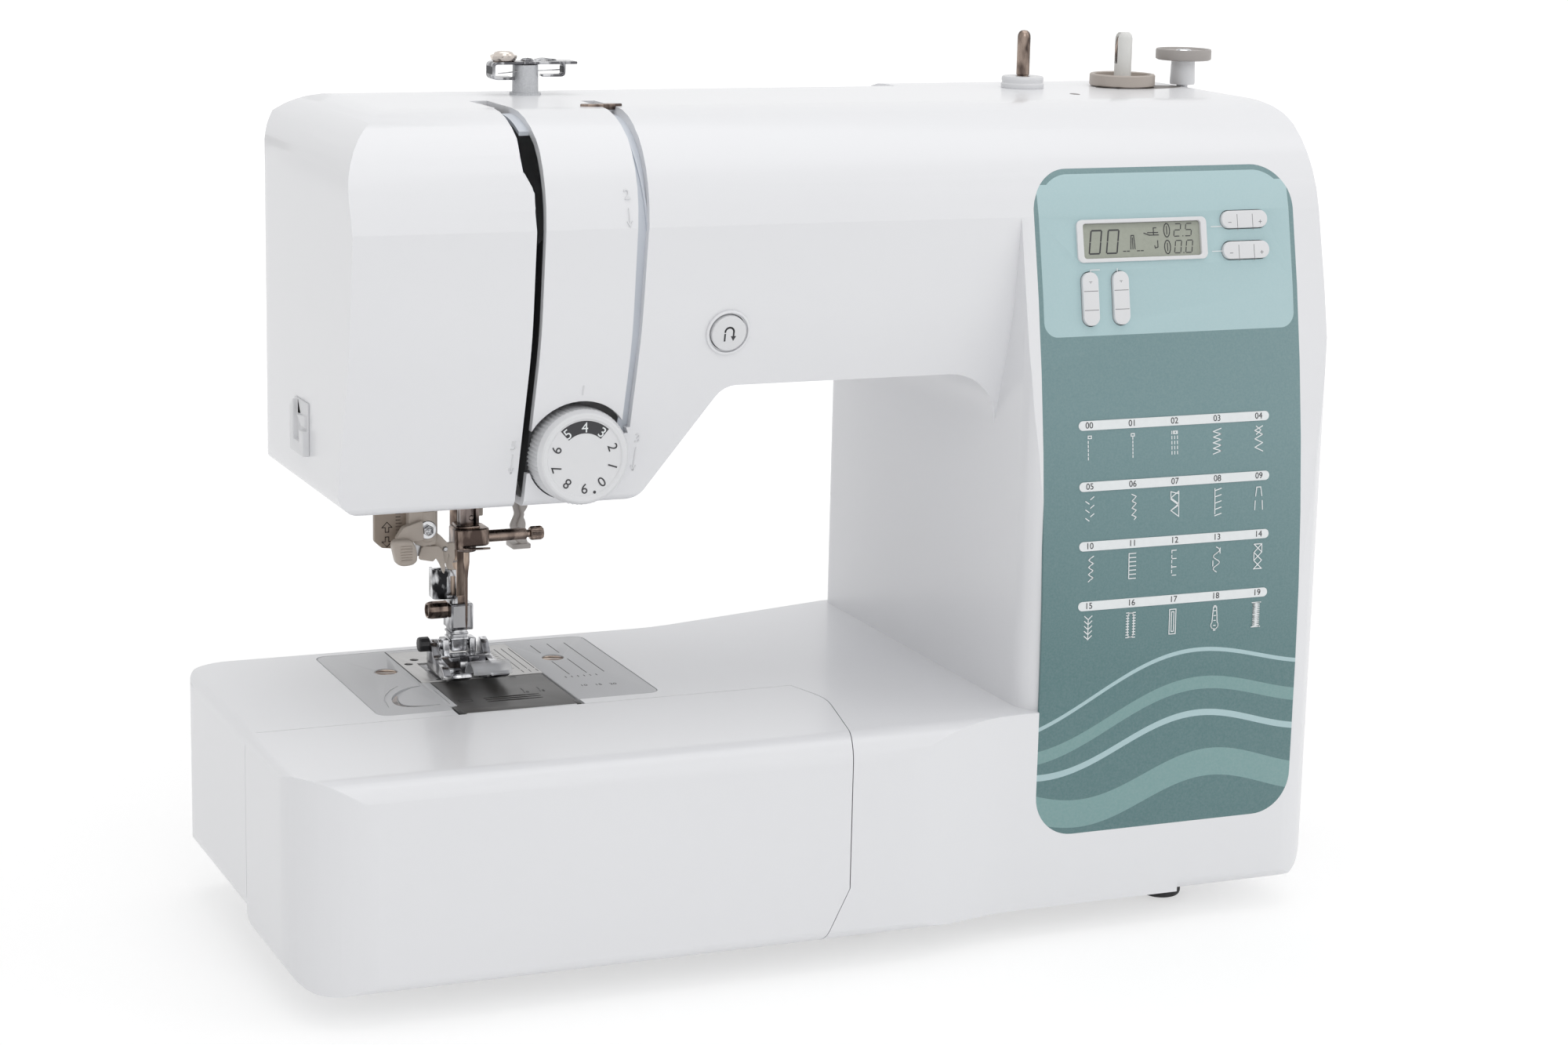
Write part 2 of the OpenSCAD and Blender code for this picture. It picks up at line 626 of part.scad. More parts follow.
bearings = [needle_x + 22, pillar_x0 + 40];
leg_x = [pillar_x0 + 20, pillar_x0 + 51.6];
module main_frame() color(steel) difference() {
  union() {
    span([box_x1 + 14, pillar_x1 - 16], [pillar_front + 24, rear_y - 22], [floor_z, frame_z]);
    span(leg_x, [shaft_y + 16, shaft_y + 32], [floor_z, shaft_z + 10]);
    span([needle_x + 22, leg_x[1]], [shaft_y + 8, shaft_y + 18.5], [shaft_z - 12, shaft_z + 10]);
    span([needle_x + 22, needle_x + 34], [shaft_y + 8, rib_y + 5.5], [shaft_z - 12, shaft_z + 10]);
    span([needle_x + 13, needle_x + 34], [rib_y, rib_y + 5.5], [shaft_z - 12, shaft_z + 10]);
    for (x = bearings) translate([x, shaft_y, shaft_z]) {
      rod_x([0, 10], 11);
      span([0, 10], [0, 10], [-11, 10]);
    }
    for (x = [needle_x + 14, bearings[1]]) translate([x, shaft_y, lower_z]) {
      rod_x([0, 10], 9);
      span([0, 10], [0, 20], [-9, 9]);
    }
    span([needle_x - 32, leg_x[0]], [shaft_y + 16, shaft_y + 30], [free_arm_z + 4, lower_z - 6]);
    head_bracket();
    hook_bracket();
    motor_saddle();
  }
  for (x = bearings) translate([x, shaft_y, shaft_z]) rod_x([-1, 11], shaft_r + 3);
  translate([0, shaft_y, lower_z]) rod_x([needle_x, pillar_x1], lower_r + run_gap);
  translate([needle_x, needle_y, 0]) rod_z([head_z, top_z], bar_r + run_gap);
  translate([presser_x, presser_y, 0]) rod_z([head_z, take_z], presser_r + run_gap);
  translate([threader_x, threader_y, 0]) rod_z([head_z, top_z], 2.55);
  translate([hook_x, hook_y, 0]) rod_z([lower_z, bed_z], 3 + run_gap);
  span([needle_x + 23.7, needle_x + 30.3], [rib_y - 6.8, rib_y - 0.2], [head_z, shaft_z - 15]);
  for (p = screw_at) translate([p.x, p.y, 0]) rod_z([floor_z - 1, frame_z + 1], 1.6);
}
module head_bracket() {
  span([needle_x - 2, needle_x + 14], [rib_y, rib_y + 5.5], [head_z + 4, take_z + 8]);
  span([needle_x + 13, needle_x + 34], [rib_y, rib_y + 5.5], [head_z + 16, shaft_z - 11]);
  span([needle_x - 7, needle_x + 7], [needle_y - 7, rib_y + 1], [head_z + 6, head_z + 16]);
  span([needle_x - 5, needle_x + 6], [needle_y - 7, rib_y + 1], [head_z + 38, head_z + 46]);
  span([threader_x - 5, needle_x - 6], [threader_y - 5, threader_y + 6], [head_z + 6, head_z + 14]);
  span([needle_x + 19, needle_x + 34], [rib_y - 10.5, rib_y + 1], [head_z + 18, head_z + 26]);
  span([needle_x - 2.9, needle_x + 5], [take_y - 5, rib_y + 1], [take_z - 6, take_z + 6]);
  translate([0, take_y, take_z]) rod_x([slot_x - 2.5, needle_x + 1], 3);
  translate([needle_x + 11, 0, head_z + 10]) rod_y([rib_y + 1, rib_y + 13], 2.5);
}
module hook_bracket() {
  span([needle_x - 20, needle_x - 8], [hook_y - 8, shaft_y + 30], [lower_z + 7, lower_z + 13.7]);
  span([needle_x - 20, needle_x - 9.5], [shaft_y + 16, shaft_y + 30], [free_arm_z + 4, lower_z + 13.7]);
  translate([hook_x, hook_y, 0]) rod_z([lower_z + 7, lower_z + 13.7], 10);
  span([needle_x - 10, needle_x + 10], [shaft_y + 16, shaft_y + 28], [free_arm_z + 4, bed_z - 8 - gap]);
  span([needle_x - 10, needle_x + 10], [shaft_y + 12, shaft_y + 28], [bed_z - 12, bed_z - 8 - gap]);
}
module motor_saddle() difference() {
  span([motor_x + 6, motor_x + motor_l - 8], [motor_y - 15, motor_y + 15], [floor_z, frame_z + 11]);
  translate([0, motor_y, motor_z]) rod_x([motor_x - 1, motor_x + motor_l + 1], motor_r);
}
module upper_shaft() color(steel) translate([0, shaft_y, shaft_z]) {
  rod_x([disc_x + 1, pillar_x1 - 10], shaft_r);
  rod_x([disc_x, disc_x + 8], disc_r);
  translate([0, 0, crank_r]) rod_x([disc_x - 5, disc_x + 1], 3);
}
module shaft_bushes() color([0.7, 0.5, 0.3]) for (x = bearings) translate([x, shaft_y, shaft_z]) difference() {
  rod_x([0, 10], shaft_r + 3);
  rod_x([-1, 11], shaft_r + run_gap);
}
drive_x = belt_x + 18;
wheel_x = pillar_x1 + 2.4;
wheel_profile = [[shaft_r, drive_x], [belt_wheel_r, drive_x], [belt_wheel_r, drive_x + 9], [12, drive_x + 12],
  [12, wheel_x], [wheel_r - 2.5, wheel_x], [wheel_r - 1, wheel_x + 2], [wheel_r, wheel_x + 14],
  [wheel_r, wheel_x + 22], [wheel_r - 2.6, wheel_x + 28], [wheel_r - 8, wheel_x + 34],
  [wheel_r - 15, right_x - 1.4], [wheel_r - 21, right_x], [0, right_x], [0, pillar_x1 - 9.9],
  [shaft_r, pillar_x1 - 9.9]];
module handwheel() color(white) translate([0, shaft_y, shaft_z]) rotate([0, 90, 0])
  rotate_extrude($fn = 72) polygon(wheel_profile);
module upper_pulley() color(dark) translate([0, shaft_y, shaft_z]) difference() {
  rod_x([belt_x, belt_x + 10], timing_r);
  rod_x([belt_x - 1, belt_x + 11], shaft_r);
}
module lower_pulley() color(dark) translate([0, shaft_y, lower_z]) difference() {
  rod_x([belt_x, belt_x + 10], timing_r);
  rod_x([belt_x - 1, belt_x + 11], lower_r);
}
module loop_2d(a, ra, b, rb) hull() {
  translate(a) circle(ra);
  translate(b) circle(rb);
}
module belt(x, a, ra, b, rb) prism_x(x) difference() {
  loop_2d(a, ra + gap + 1.5, b, rb + gap + 1.5);
  loop_2d(a, ra + gap, b, rb + gap);
}
module timing_belt() color(dark) belt([belt_x + 0.5, belt_x + 9.5], [shaft_y, shaft_z], timing_r,
  [shaft_y, lower_z], timing_r);
module motor_belt() color(dark) belt([drive_x + 1, drive_x + 8], [shaft_y, shaft_z], belt_wheel_r,
  [motor_y, motor_z], motor_pulley_r);
module lower_shaft() color(steel) translate([0, shaft_y, lower_z]) {
  rod_x([needle_x - 8, belt_x + 13], lower_r);
  rod_x([hook_x - 6, hook_x + 6], hook_gear_r);
}
module motor() color(dark) translate([0, motor_y, motor_z]) difference() {
  union() {
    rod_x([motor_x, motor_x + motor_l], motor_r);
    rod_x([motor_x - 4, motor_x], 9);
  }
  rod_x([motor_x + 20, motor_x + motor_l + 1], 3 + run_gap);
}
module motor_pulley() color(steel) translate([0, motor_y, motor_z]) {
  rod_x([motor_x + 20.5, drive_x], 3);
  rod_x([drive_x - 1, drive_x + 9.5], motor_pulley_r);
}

clamp_z = bed_z + 44;
module needle_bar() color(steel) translate([needle_x, needle_y, 0]) difference() {
  rod_z([clamp_z - 0.5, take_z + 12], bar_r);
  rod_z([clamp_z - 1, clamp_z + 12], 1);
}
module needle_clamp() color(bronze) difference() {
  union() {
    translate([needle_x, needle_y, 0]) rod_z([clamp_z, clamp_z + 8], 5);
    span([needle_x + 1, needle_x + 6.8], [needle_y - 4, needle_y + 4], [clamp_z, clamp_z + 8]);
    span([needle_x - 1.2, needle_x + 8], [needle_y - 6.6, needle_y - 5.6], [clamp_z - 1.4, clamp_z - 0.4]);
    span([needle_x - 1.2, needle_x + 1.2], [needle_y - 6.6, needle_y - 4], [clamp_z - 1.4, clamp_z + 2]);
  }
  translate([needle_x, needle_y, 0]) rod_z([clamp_z - 3, clamp_z + 9], bar_r);
  translate([0, needle_y, clamp_z + 4]) rod_x([needle_x, needle_x + 10], 1.3);
}
module clamp_screw() color(bronze) translate([0, needle_y, clamp_z + 4]) difference() {
  union() {
    rod_x([needle_x + bar_r + 0.1, needle_x + 8], 1.25);
    rod_x([needle_x + 6.9, needle_x + 20.6], 2.1);
    rod_x([needle_x + 20.5, needle_x + 21.6], 1.4);
    rod_x([needle_x + 21.5, needle_x + 26.4], 2.5);
  }
  span([needle_x + 25, needle_x + 28], [-0.5, 0.5], [-5, 5]);
}
module needle() color(chrome) translate([needle_x, needle_y, 0]) {
  rod_z([clamp_z - 6, clamp_z + 11.8], 1);
  translate([0, 0, clamp_z - 9]) cylinder(h = 3, r1 = 0.45, r2 = 1);
  rod_z([bed_z + needle_up + 2.5, clamp_z - 9], 0.45);
  translate([0, 0, bed_z + needle_up]) cylinder(h = 2.5, r1 = 0.05, r2 = 0.45);
}
holder_x = needle_x - 3.5;
module presser_bar() color(steel) translate([presser_x, presser_y, 0]) {
  rod_z([bed_z + 26, take_z - 8], presser_r);
  rod_z([head_z + 24, head_z + 31], presser_r + 2);
}
foot_pin_y = needle_y + 10.5;
foot_pin_z = bed_z + 9;
module foot_holder() color(chrome) difference() {
  union() {
    span([holder_x, needle_x + 4.5], [presser_y - 5, presser_y + 4.5], [bed_z + 14.6, bed_z + 33]);
    span([needle_x - 3, needle_x + 3], [foot_pin_y - 3, foot_pin_y + 4], [bed_z + 6.5, bed_z + 15]);
    prism_y([presser_y - 1, presser_y + 1]) polygon([[needle_x - 9, bed_z + 32], [holder_x + 0.1, bed_z + 36.6],
      [holder_x + 0.1, bed_z + 25]]);
  }
  translate([presser_x, presser_y, 0]) rod_z([bed_z + 26, bed_z + 40], presser_r);
  translate([0, foot_pin_y, foot_pin_z]) rod_x([needle_x - 4, needle_x + 4], 1.05);
  translate([0, presser_y, bed_z + 21]) rod_x([holder_x - 2, holder_x + 5.1], 1.3);
}
module foot_screw() color(bronze) translate([0, presser_y, bed_z + 21]) {
  rod_x([needle_x - 10.8, holder_x - 0.1], 4);
  rod_x([holder_x - 0.2, holder_x + 5], 1.25);
}
sole_z = bed_z + gap;
module presser_foot() color(chrome) {
  difference() {
    union() {
      span([needle_x - 10, needle_x + 10], [needle_y - 5, foot_pin_y + 2], [sole_z, sole_z + 2]);
      for (s = [-1, 1]) hull() {
        span([needle_x + 6.6 * s - 3.4, needle_x + 6.6 * s + 3.4], [needle_y - 5, needle_y - 4],
          [sole_z, sole_z + 2]);
        span([needle_x + 6.6 * s - 3, needle_x + 6.6 * s + 3], [needle_y - 17, needle_y - 16],
          [sole_z + 3.9, sole_z + 5]);
      }
    }
    span([needle_x - 3.3, needle_x + 3.3], [needle_y - 6, needle_y + 1.5], [sole_z - 1, sole_z + 5]);
  }
  for (s = [-1, 1]) span([needle_x + 4.6 * s - 1, needle_x + 4.6 * s + 1], [foot_pin_y - 3, foot_pin_y + 2],
    [sole_z + 1.5, foot_pin_z + 2]);
  translate([0, foot_pin_y, foot_pin_z]) rod_x([needle_x - 16.8, needle_x + 5.6], 1);
  translate([0, foot_pin_y, foot_pin_z]) rod_x([needle_x - 16.8, needle_x - 12.7], 3);
}
module presser_lifter() color(beige) translate([needle_x + 11, 0, head_z + 10]) difference() {
  union() {
    rod_y([rib_y + 5.5 + gap, rib_y + 11.5], 5.5);
    span([-2.5, 2.5], [rib_y + 5.5 + gap, rib_y + 11.5], [-26, 0]);
    span([-5, 5], [rib_y + 5.5 + gap, rib_y + 12.5], [-34, -25]);
  }
  rod_y([rib_y, rib_y + 14], 2.55);
}
module threader_lever() color(beige) difference() {
  union() {
    span([needle_x - 34, needle_x - 28], [needle_y - 12, needle_y - 4], [bed_z + 48, bed_z + 62]);
    span([needle_x - 29, needle_x - 21], [needle_y - 13, needle_y - 9], [bed_z + 43, bed_z + 56]);
    span([needle_x - 30, threader_x], [needle_y - 10, needle_y - 4], [bed_z + 50, bed_z + 60]);
    translate([threader_x, threader_y, 0]) rod_z([bed_z + 50, head_z + 40], 2.5);
    translate([threader_x, threader_y, 0]) rod_z([bed_z + 50, bed_z + 60], 4);
  }
  translate([threader_x, threader_y, 0]) rod_z([bed_z + 40, bed_z + 58], 1.55);
}
module needle_threader() color(white) translate([threader_x, threader_y, 0]) {
  rod_z([bed_z + 38, bed_z + 57.7], 1.5);
  rod_z([bed_z + 38, bed_z + 49.7], 3);
  span([-1.5, 1.5], [-9, 0], [bed_z + 39, bed_z + 41]);
  span([-2.6, 2.6], [-10, -8], [bed_z + 38, bed_z + 43]);
  translate([0, 0, bed_z + 46]) rod_y([-6, 0], 0.8);
}
module buttonhole_lever() color(beige) {
  span([needle_x + 24, needle_x + 30], [rib_y - 6.5, rib_y - 0.5], [bed_z + 44, head_z + 36]);
  span([needle_x + 22, needle_x + 32], [rib_y - 8, rib_y + 1], [bed_z + 38, bed_z + 50]);
}
module take_up_lever() color(chrome) translate([slot_x - 1.2, take_y, take_z]) rotate([-25, 0, 0])
  prism_x([0, 1.5]) difference() {
    union() {
      circle(6);
      translate([-take_reach, -3]) square([take_reach, 6]);
      translate([-take_reach, 0]) circle(4);
    }
    circle(3.05);
    translate([-take_reach, 0]) circle(1.6);
  }

module tension_dial() color(white) translate([dial_x, 0, dial_z]) difference() {
  union() {
    difference() {
      rod_y([dial_front, dial_front + dial_depth], dial_r);
      rod_y([dial_front + 3, dial_front + dial_depth + 1], dial_r - 2.5);
    }
    rod_y([dial_front + 2, dial_front + dial_depth], 5);
  }
  rod_y([dial_front + 4, dial_front + dial_depth + 1], dial_bore + run_gap);
}
module tension_unit() color(steel) translate([dial_x, 0, dial_z]) {
  rod_y([dial_front + 4.5, dial_front + dial_depth + 1], dial_bore);
  rod_y([dial_front + dial_depth + gap, rib_y], 4);
  for (i = [0:2]) rod_y([dial_front + 19 + 3 * i, dial_front + 20.4 + 3 * i], 11 - i % 2);
}
module guide_post() color(beige) translate([guide_x, needle_y, 0]) {
  rod_z([top_z, top_z + 10.1], 4.2);
  rod_z([top_z, top_z + 1], 5);
}
module thread_guide() color(chrome) translate([guide_x, needle_y, top_z]) {
  span([-12.4, 17], [-4, 4], [10.1, 11]);
  span([-12.4, -11.5], [-4, 4], [5, 11]);
  span([-12.4, -4.6], [-4, 4], [5, 5.9]);
  span([12, 12.9], [-4, 0], [6, 11]);
  span([4.6, 12.9], [-4, 0], [6, 6.9]);
  translate([-7.5, 0, 0]) {
    rod_z([10.5, 12.8], 4.4);
    rod_z([12.7, 14.2], 3.1);
  }
}
module spool_base() color(white) translate([spool_x, needle_y, 0]) difference() {
  union() {
    rod_z([top_z, top_z + 2], 7);
    rod_z([top_z + 2, top_z + 4], 5.2);
  }
  rod_z([top_z - 1, top_z + 5], spool_r + run_gap);
}
module spool_pin() color(bronze) translate([spool_x, needle_y, 0]) {
  rod_z([top_z - 16, top_z + 5], spool_r - 0.3);
  rod_z([top_z + 4.5, top_z + spool_up - spool_r], spool_r);
  translate([0, 0, top_z + spool_up - spool_r]) intersection() {
    sphere(spool_r);
    cylinder(h = 10, r = 10);
  }
}
module winder_seat() color(beige) translate([winder_x, needle_y, 0]) difference() {
  union() {
    rod_z([top_z + gap, top_z + 4.5], seat_r);
    rod_z([top_z - 12, top_z + 4], 5);
    rod_z([top_z - 14, top_z - wall - gap], 7);
  }
  rod_z([top_z + 2.5, top_z + 6], seat_r - 1.6);
  rod_z([top_z - 20, top_z + 6], winder_r - 0.45 + run_gap);
}
module winder_shaft() color(white) translate([winder_x, needle_y, 0]) {
  rod_z([top_z - 18, top_z + 4], winder_r - 0.45);
  rod_z([top_z + 3, top_z + 17.5], winder_r);
  translate([0, 0, top_z + 17.5]) cylinder(h = 1.5, r1 = winder_r, r2 = 1.8);
  rod_z([top_z - 22, top_z - 14 - gap], 9);
}
module winder_stopper() color(beige) translate([stopper_x, needle_y, 0]) {
  rod_z([top_z - 16, top_z + 2], 2);
  translate([0, 0, top_z + 0.6]) cylinder(h = 10, r1 = 4.6, r2 = 3.4);
  rod_z([top_z + 10, top_z + 13], stopper_r);
}

module control_panel() color(teal) difference() {
  intersection() {
    panel_band(0);
    prism_y([-far, pillar_front + 40]) translate([panel_x, panel_z]) rounded_rect(panel_w, panel_h, 14);
  }
  key_holes();
}
module lcd_bezel() color(white) on_face(lcd_x, lcd_z) difference() {
  prism_y([-0.7, 3.2]) lcd_2d(0);
  prism_y([-2, 4]) rounded_rect(bezel_w - 4.5, bezel_h - 2.5, 1);
}
module lcd() color([0.6, 0.62, 0.55]) on_face(lcd_x, lcd_z) {
  prism_y([0.3, 3.2]) rounded_rect(bezel_w - 4.5, bezel_h - 2.5, 1);
  prism_y([3.2, 5]) rounded_rect(bezel_w - 1, bezel_h - 1, 1);
}
module rocker() color(white) {
  prism_y([-1.1, 5]) key_2d(0);
  translate([0, 3.4, 0]) rod_z([-key_w / 2 - 1.5, key_w / 2 + 1.5], 0.8);
}
module length_key() on_face(keys_x, lcd_z + 5.5) rocker();
module width_key() on_face(keys_x, lcd_z - 4.5) rocker();
module tens_key() on_face(lcd_x - 20.5, lcd_z - 18.5) rotate([0, 90, 0]) rocker();
module units_key() on_face(lcd_x - 9.2, lcd_z - 18.5) rotate([0, 90, 0]) rocker();
module reverse_button() color(white) on_arm(reverse_x, reverse_z) {
  prism_y([-0.9, 6]) circle(reverse_r);
  prism_y([5.3, 6.5]) circle(reverse_r + 2);
}
module thread_cutter() color(white) translate([head_x, needle_y, 0]) {
  prism_x([-0.6, 0]) translate([-28, head_z + 22.5]) square([16, 17], center = true);
  prism_x([-2.2, 0]) polygon([[-36, head_z + 14], [-20, head_z + 14], [-20, head_z + 28], [-24, head_z + 31],
    [-24, head_z + 18], [-31, head_z + 18], [-31, head_z + 22], [-36, head_z + 22]]);
  prism_x([-1.4, 0]) polygon([[-35, head_z + 23], [-31, head_z + 23], [-25, head_z + 26], [-35, head_z + 27]]);
}
module control_board() color([0.1, 0.35, 0.2]) {
  span([pillar_x0 + 14, pillar_x1 - 24], [pillar_front + 30, pillar_front + 31.6], [bed_z, top_z - 34]);
  intersection() {
    form(wall);
    for (x = [pillar_x0 + 20, pillar_x1 - 30], z = [bed_z + 8, top_z - 104]) translate([x, 0, z])
      rod_y([pillar_front, pillar_front + 30.5], 3);
  }
}
module socket_block() color(dark) difference() {
  span([socket_x, pillar_x1 - 1.8], [switch_y - 14, switch_y + 38], [base_z + 15, base_z + 65]);
  span([socket_x + 2, pillar_x1], [switch_y - 8 - gap, switch_y + 8 + gap],
    [base_z + 40 - gap, base_z + 56 + gap]);
  translate([0, 0, base_z + 48]) translate([socket_x + 8, 0, 0]) rod_y([switch_y - 10, switch_y + 10], 1.3);
  span([socket_x + 3, pillar_x1], [switch_y + 14, switch_y + 30], [base_z + 38, base_z + 48]);
  translate([0, switch_y + 22, base_z + 26]) rod_x([socket_x + 3, pillar_x1], 3);
}
module power_switch() color(dark) translate([socket_x + 8, switch_y, base_z + 48]) {
  prism_y([-8, 8]) polygon([[-3, -6], [0, -7.2], [3, -7.4], [4.6, -7.4], [3, 0], [4.6, 7.4], [3, 7.4],
    [0, 7.2], [-3, 6]]);
  rod_y([-9.6, 9.6], 1.25);
}

front_cover();
rear_cover();
base_tray();
feet();
screws();
accessory_box();
carry_handle();
plate_cover();
needle_plate();
bobbin_cover();
bobbin_case();
hook_race();
bobbin();
feed_dogs();
feed_lever();
main_frame();
upper_shaft();
shaft_bushes();
handwheel();
upper_pulley();
timing_belt();
lower_pulley();
lower_shaft();
motor();
motor_pulley();
motor_belt();
needle_bar();
needle_clamp();
clamp_screw();
needle();
presser_bar();
foot_holder();
foot_screw();
presser_foot();
presser_lifter();
needle_threader();
threader_lever();
buttonhole_lever();
take_up_lever();
tension_dial();
tension_unit();
guide_post();
thread_guide();
spool_base();
spool_pin();
winder_seat();
winder_shaft();
winder_stopper();
control_panel();
lcd_bezel();
lcd();
tens_key();
units_key();
length_key();
width_key();
reverse_button();
thread_cutter();
control_board();
power_switch();
socket_block();
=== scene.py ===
import math
import bpy
import bmesh
from mathutils import Euler, Matrix, Vector


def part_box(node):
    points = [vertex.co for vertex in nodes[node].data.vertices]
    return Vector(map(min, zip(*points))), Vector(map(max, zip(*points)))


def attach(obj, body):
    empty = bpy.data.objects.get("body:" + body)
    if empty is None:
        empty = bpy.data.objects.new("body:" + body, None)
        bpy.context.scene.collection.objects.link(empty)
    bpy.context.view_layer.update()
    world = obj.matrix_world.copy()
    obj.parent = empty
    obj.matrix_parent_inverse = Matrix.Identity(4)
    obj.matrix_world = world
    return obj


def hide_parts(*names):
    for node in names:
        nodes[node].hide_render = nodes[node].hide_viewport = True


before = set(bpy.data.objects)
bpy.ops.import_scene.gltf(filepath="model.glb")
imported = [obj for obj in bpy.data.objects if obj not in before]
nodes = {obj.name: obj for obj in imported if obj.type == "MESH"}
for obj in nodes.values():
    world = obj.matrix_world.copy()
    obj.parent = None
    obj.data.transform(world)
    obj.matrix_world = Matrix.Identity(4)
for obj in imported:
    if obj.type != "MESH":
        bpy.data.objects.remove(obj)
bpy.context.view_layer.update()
mm = 0.001
# weld distances of the nodes' meshes and of the drawn forms, and the angle under which faces count as flat
tolerance = {"node": 0.02 * mm, "form": 0.004 * mm, "flat": math.radians(0.6)}
print("frame loaded:", len(nodes), "nodes")


# helpers for modelling

def deselectAll():
    if bpy.context.object and bpy.context.object.mode != "OBJECT":
        bpy.ops.object.mode_set(mode="OBJECT")
    bpy.ops.object.select_all(action="DESELECT")


def pick(*pieces):
    deselectAll()
    for piece in pieces:
        piece.select_set(True)
    bpy.context.view_layer.objects.active = pieces[0]
    return pieces[0]


def settle(piece):
    # moves the piece's place into its mesh
    pick(piece)
    bpy.ops.object.transform_apply(location=True, rotation=True, scale=True)
    return piece


def finishMesh(piece, angle=35):
    pick(piece)
    bpy.ops.object.shade_smooth_by_angle(angle=math.radians(angle))
    return piece


def modify(piece, kind, **settings):
    pick(piece)
    modifier = piece.modifiers.new(kind.lower(), kind)
    for key, value in settings.items():
        setattr(modifier, key, value)
    bpy.ops.object.modifier_apply(modifier=modifier.name)
    return piece


def soften(piece, width, segments=3, angle=30, smooth=35):
    modify(piece, "BEVEL", width=width, segments=segments, limit_method="ANGLE",
           angle_limit=math.radians(angle), use_clamp_overlap=True)
    return finishMesh(piece, smooth)


def roundRidge(piece, width, segments, least, most, inPlace):
    # a wide round over the edges whose angle and middle point fit
    form = bmesh.new()
    form.from_mesh(piece.data)
    chosen = set()
    for edge in form.edges:
        if len(edge.link_faces) == 2 and least < math.degrees(edge.calc_face_angle_signed(0)) < most:
            if inPlace(*((edge.verts[0].co + edge.verts[1].co) / 2 / mm)):
                chosen.update(vertex.index for vertex in edge.verts)
    form.free()
    group = piece.vertex_groups.new(name="ridge")
    group.add(sorted(chosen), 1.0, "REPLACE")
    modify(piece, "BEVEL", width=width * mm, segments=segments, limit_method="VGROUP", vertex_group="ridge",
           use_clamp_overlap=True)
    piece.vertex_groups.clear()
    return piece


def evenShading(piece, angle=35):
    # flat faces stay flat in shading, and the curves between them take the turn
    finishMesh(piece, angle)
    return modify(piece, "WEIGHTED_NORMAL", keep_sharp=True, weight=60)


def cutAway(piece, *tools):
    for tool in tools:
        modify(piece, "BOOLEAN", operation="DIFFERENCE", object=tool, solver="MANIFOLD")
        bpy.data.objects.remove(tool)
    return piece


def joinPieces(name, *pieces):
    pick(*pieces)
    if len(pieces) > 1:
        bpy.ops.object.join()
    pieces[0].name = name
    return pieces[0]


def editMesh(piece):
    pick(piece)
    bpy.ops.object.mode_set(mode="EDIT")
    bpy.ops.mesh.select_all(action="SELECT")


def leaveEdit():
    bpy.ops.object.mode_set(mode="OBJECT")


def newPiece(name, data):
    piece = bpy.data.objects.new(name, data)
    bpy.context.collection.objects.link(piece)
    return piece


def placedCopy(node):
    # a mesh of its own with the node's shape, merged and with its flat faces made whole
    piece = newPiece(node + "Copy", nodes[node].data.copy())
    piece.data.materials.clear()
    editMesh(piece)
    bpy.ops.mesh.remove_doubles(threshold=tolerance["node"])
    bpy.ops.mesh.dissolve_limited(angle_limit=tolerance["flat"])
    leaveEdit()
    return piece


def mount(name, parts, body, material, slot, *replaced, smooth=0):
    # one piece from its parts, with its name, body and finish
    piece = joinPieces(name, *(parts if isinstance(parts, list) else [parts]))
    if smooth:
        finishMesh(piece, smooth)
    piece.data.materials.clear()
    piece.data.materials.append(material)
    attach(piece, body)
    if replaced:
        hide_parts(*replaced)
    return piece


def carry(name, node, body, material, slot, edge, segments=3, angle=40, smooth=50):
    # the node's own shape with softened edges
    mount(name, soften(placedCopy(node), edge * mm, segments, angle, smooth), body, material, slot, node)


# helpers for turned, cut and bent forms, sizes in millimetres

turns = {"X": (0, math.pi / 2, 0), "Y": (-math.pi / 2, 0, 0), "Z": (0, 0, 0)}


def closeUp(piece):
    editMesh(piece)
    bpy.ops.mesh.remove_doubles(threshold=tolerance["form"])
    bpy.ops.mesh.normals_make_consistent(inside=False)
    leaveEdit()
    return piece


def setDown(piece, at, turn=(0, 0, 0)):
    piece.location, piece.rotation_euler = Vector(at) * mm, turn
    return settle(piece)


def turned(at, profile, axis="Z", steps=40, smooth=35, ring=False):
    # a lathe form: a circle drawn out along its axis through pairs of radius and height
    deselectAll()
    bpy.ops.mesh.primitive_circle_add(vertices=steps, radius=profile[0][0] * mm,
        fill_type="NOTHING" if ring else "NGON")
    piece = setDown(bpy.context.object, (0, 0, profile[0][1]))
    editMesh(piece)
    path = profile + profile[:1] if ring else profile
    for (wide, low), (radius, high) in zip(path, path[1:]):
        bpy.ops.mesh.extrude_region_move(TRANSFORM_OT_translate={"value": (0, 0, (high - low) * mm)})
        bpy.ops.transform.resize(value=(radius / wide, radius / wide, 1), center_override=(0, 0, high * mm))
    leaveEdit()
    closeUp(piece)
    return finishMesh(setDown(piece, at, turns[axis]), smooth)


def block(low, high, edge=0.3, segments=2):
    low, high = Vector(low) * mm, Vector(high) * mm
    deselectAll()
    bpy.ops.mesh.primitive_cube_add(size=1, location=(low + high) / 2)
    piece = bpy.context.object
    piece.scale = high - low
    return soften(settle(piece), edge * mm, segments)


def onPlane(axis, depth, a, b):
    return Vector({"X": (depth, a, b), "Y": (a, depth, b), "Z": (a, b, depth)}[axis]) * mm


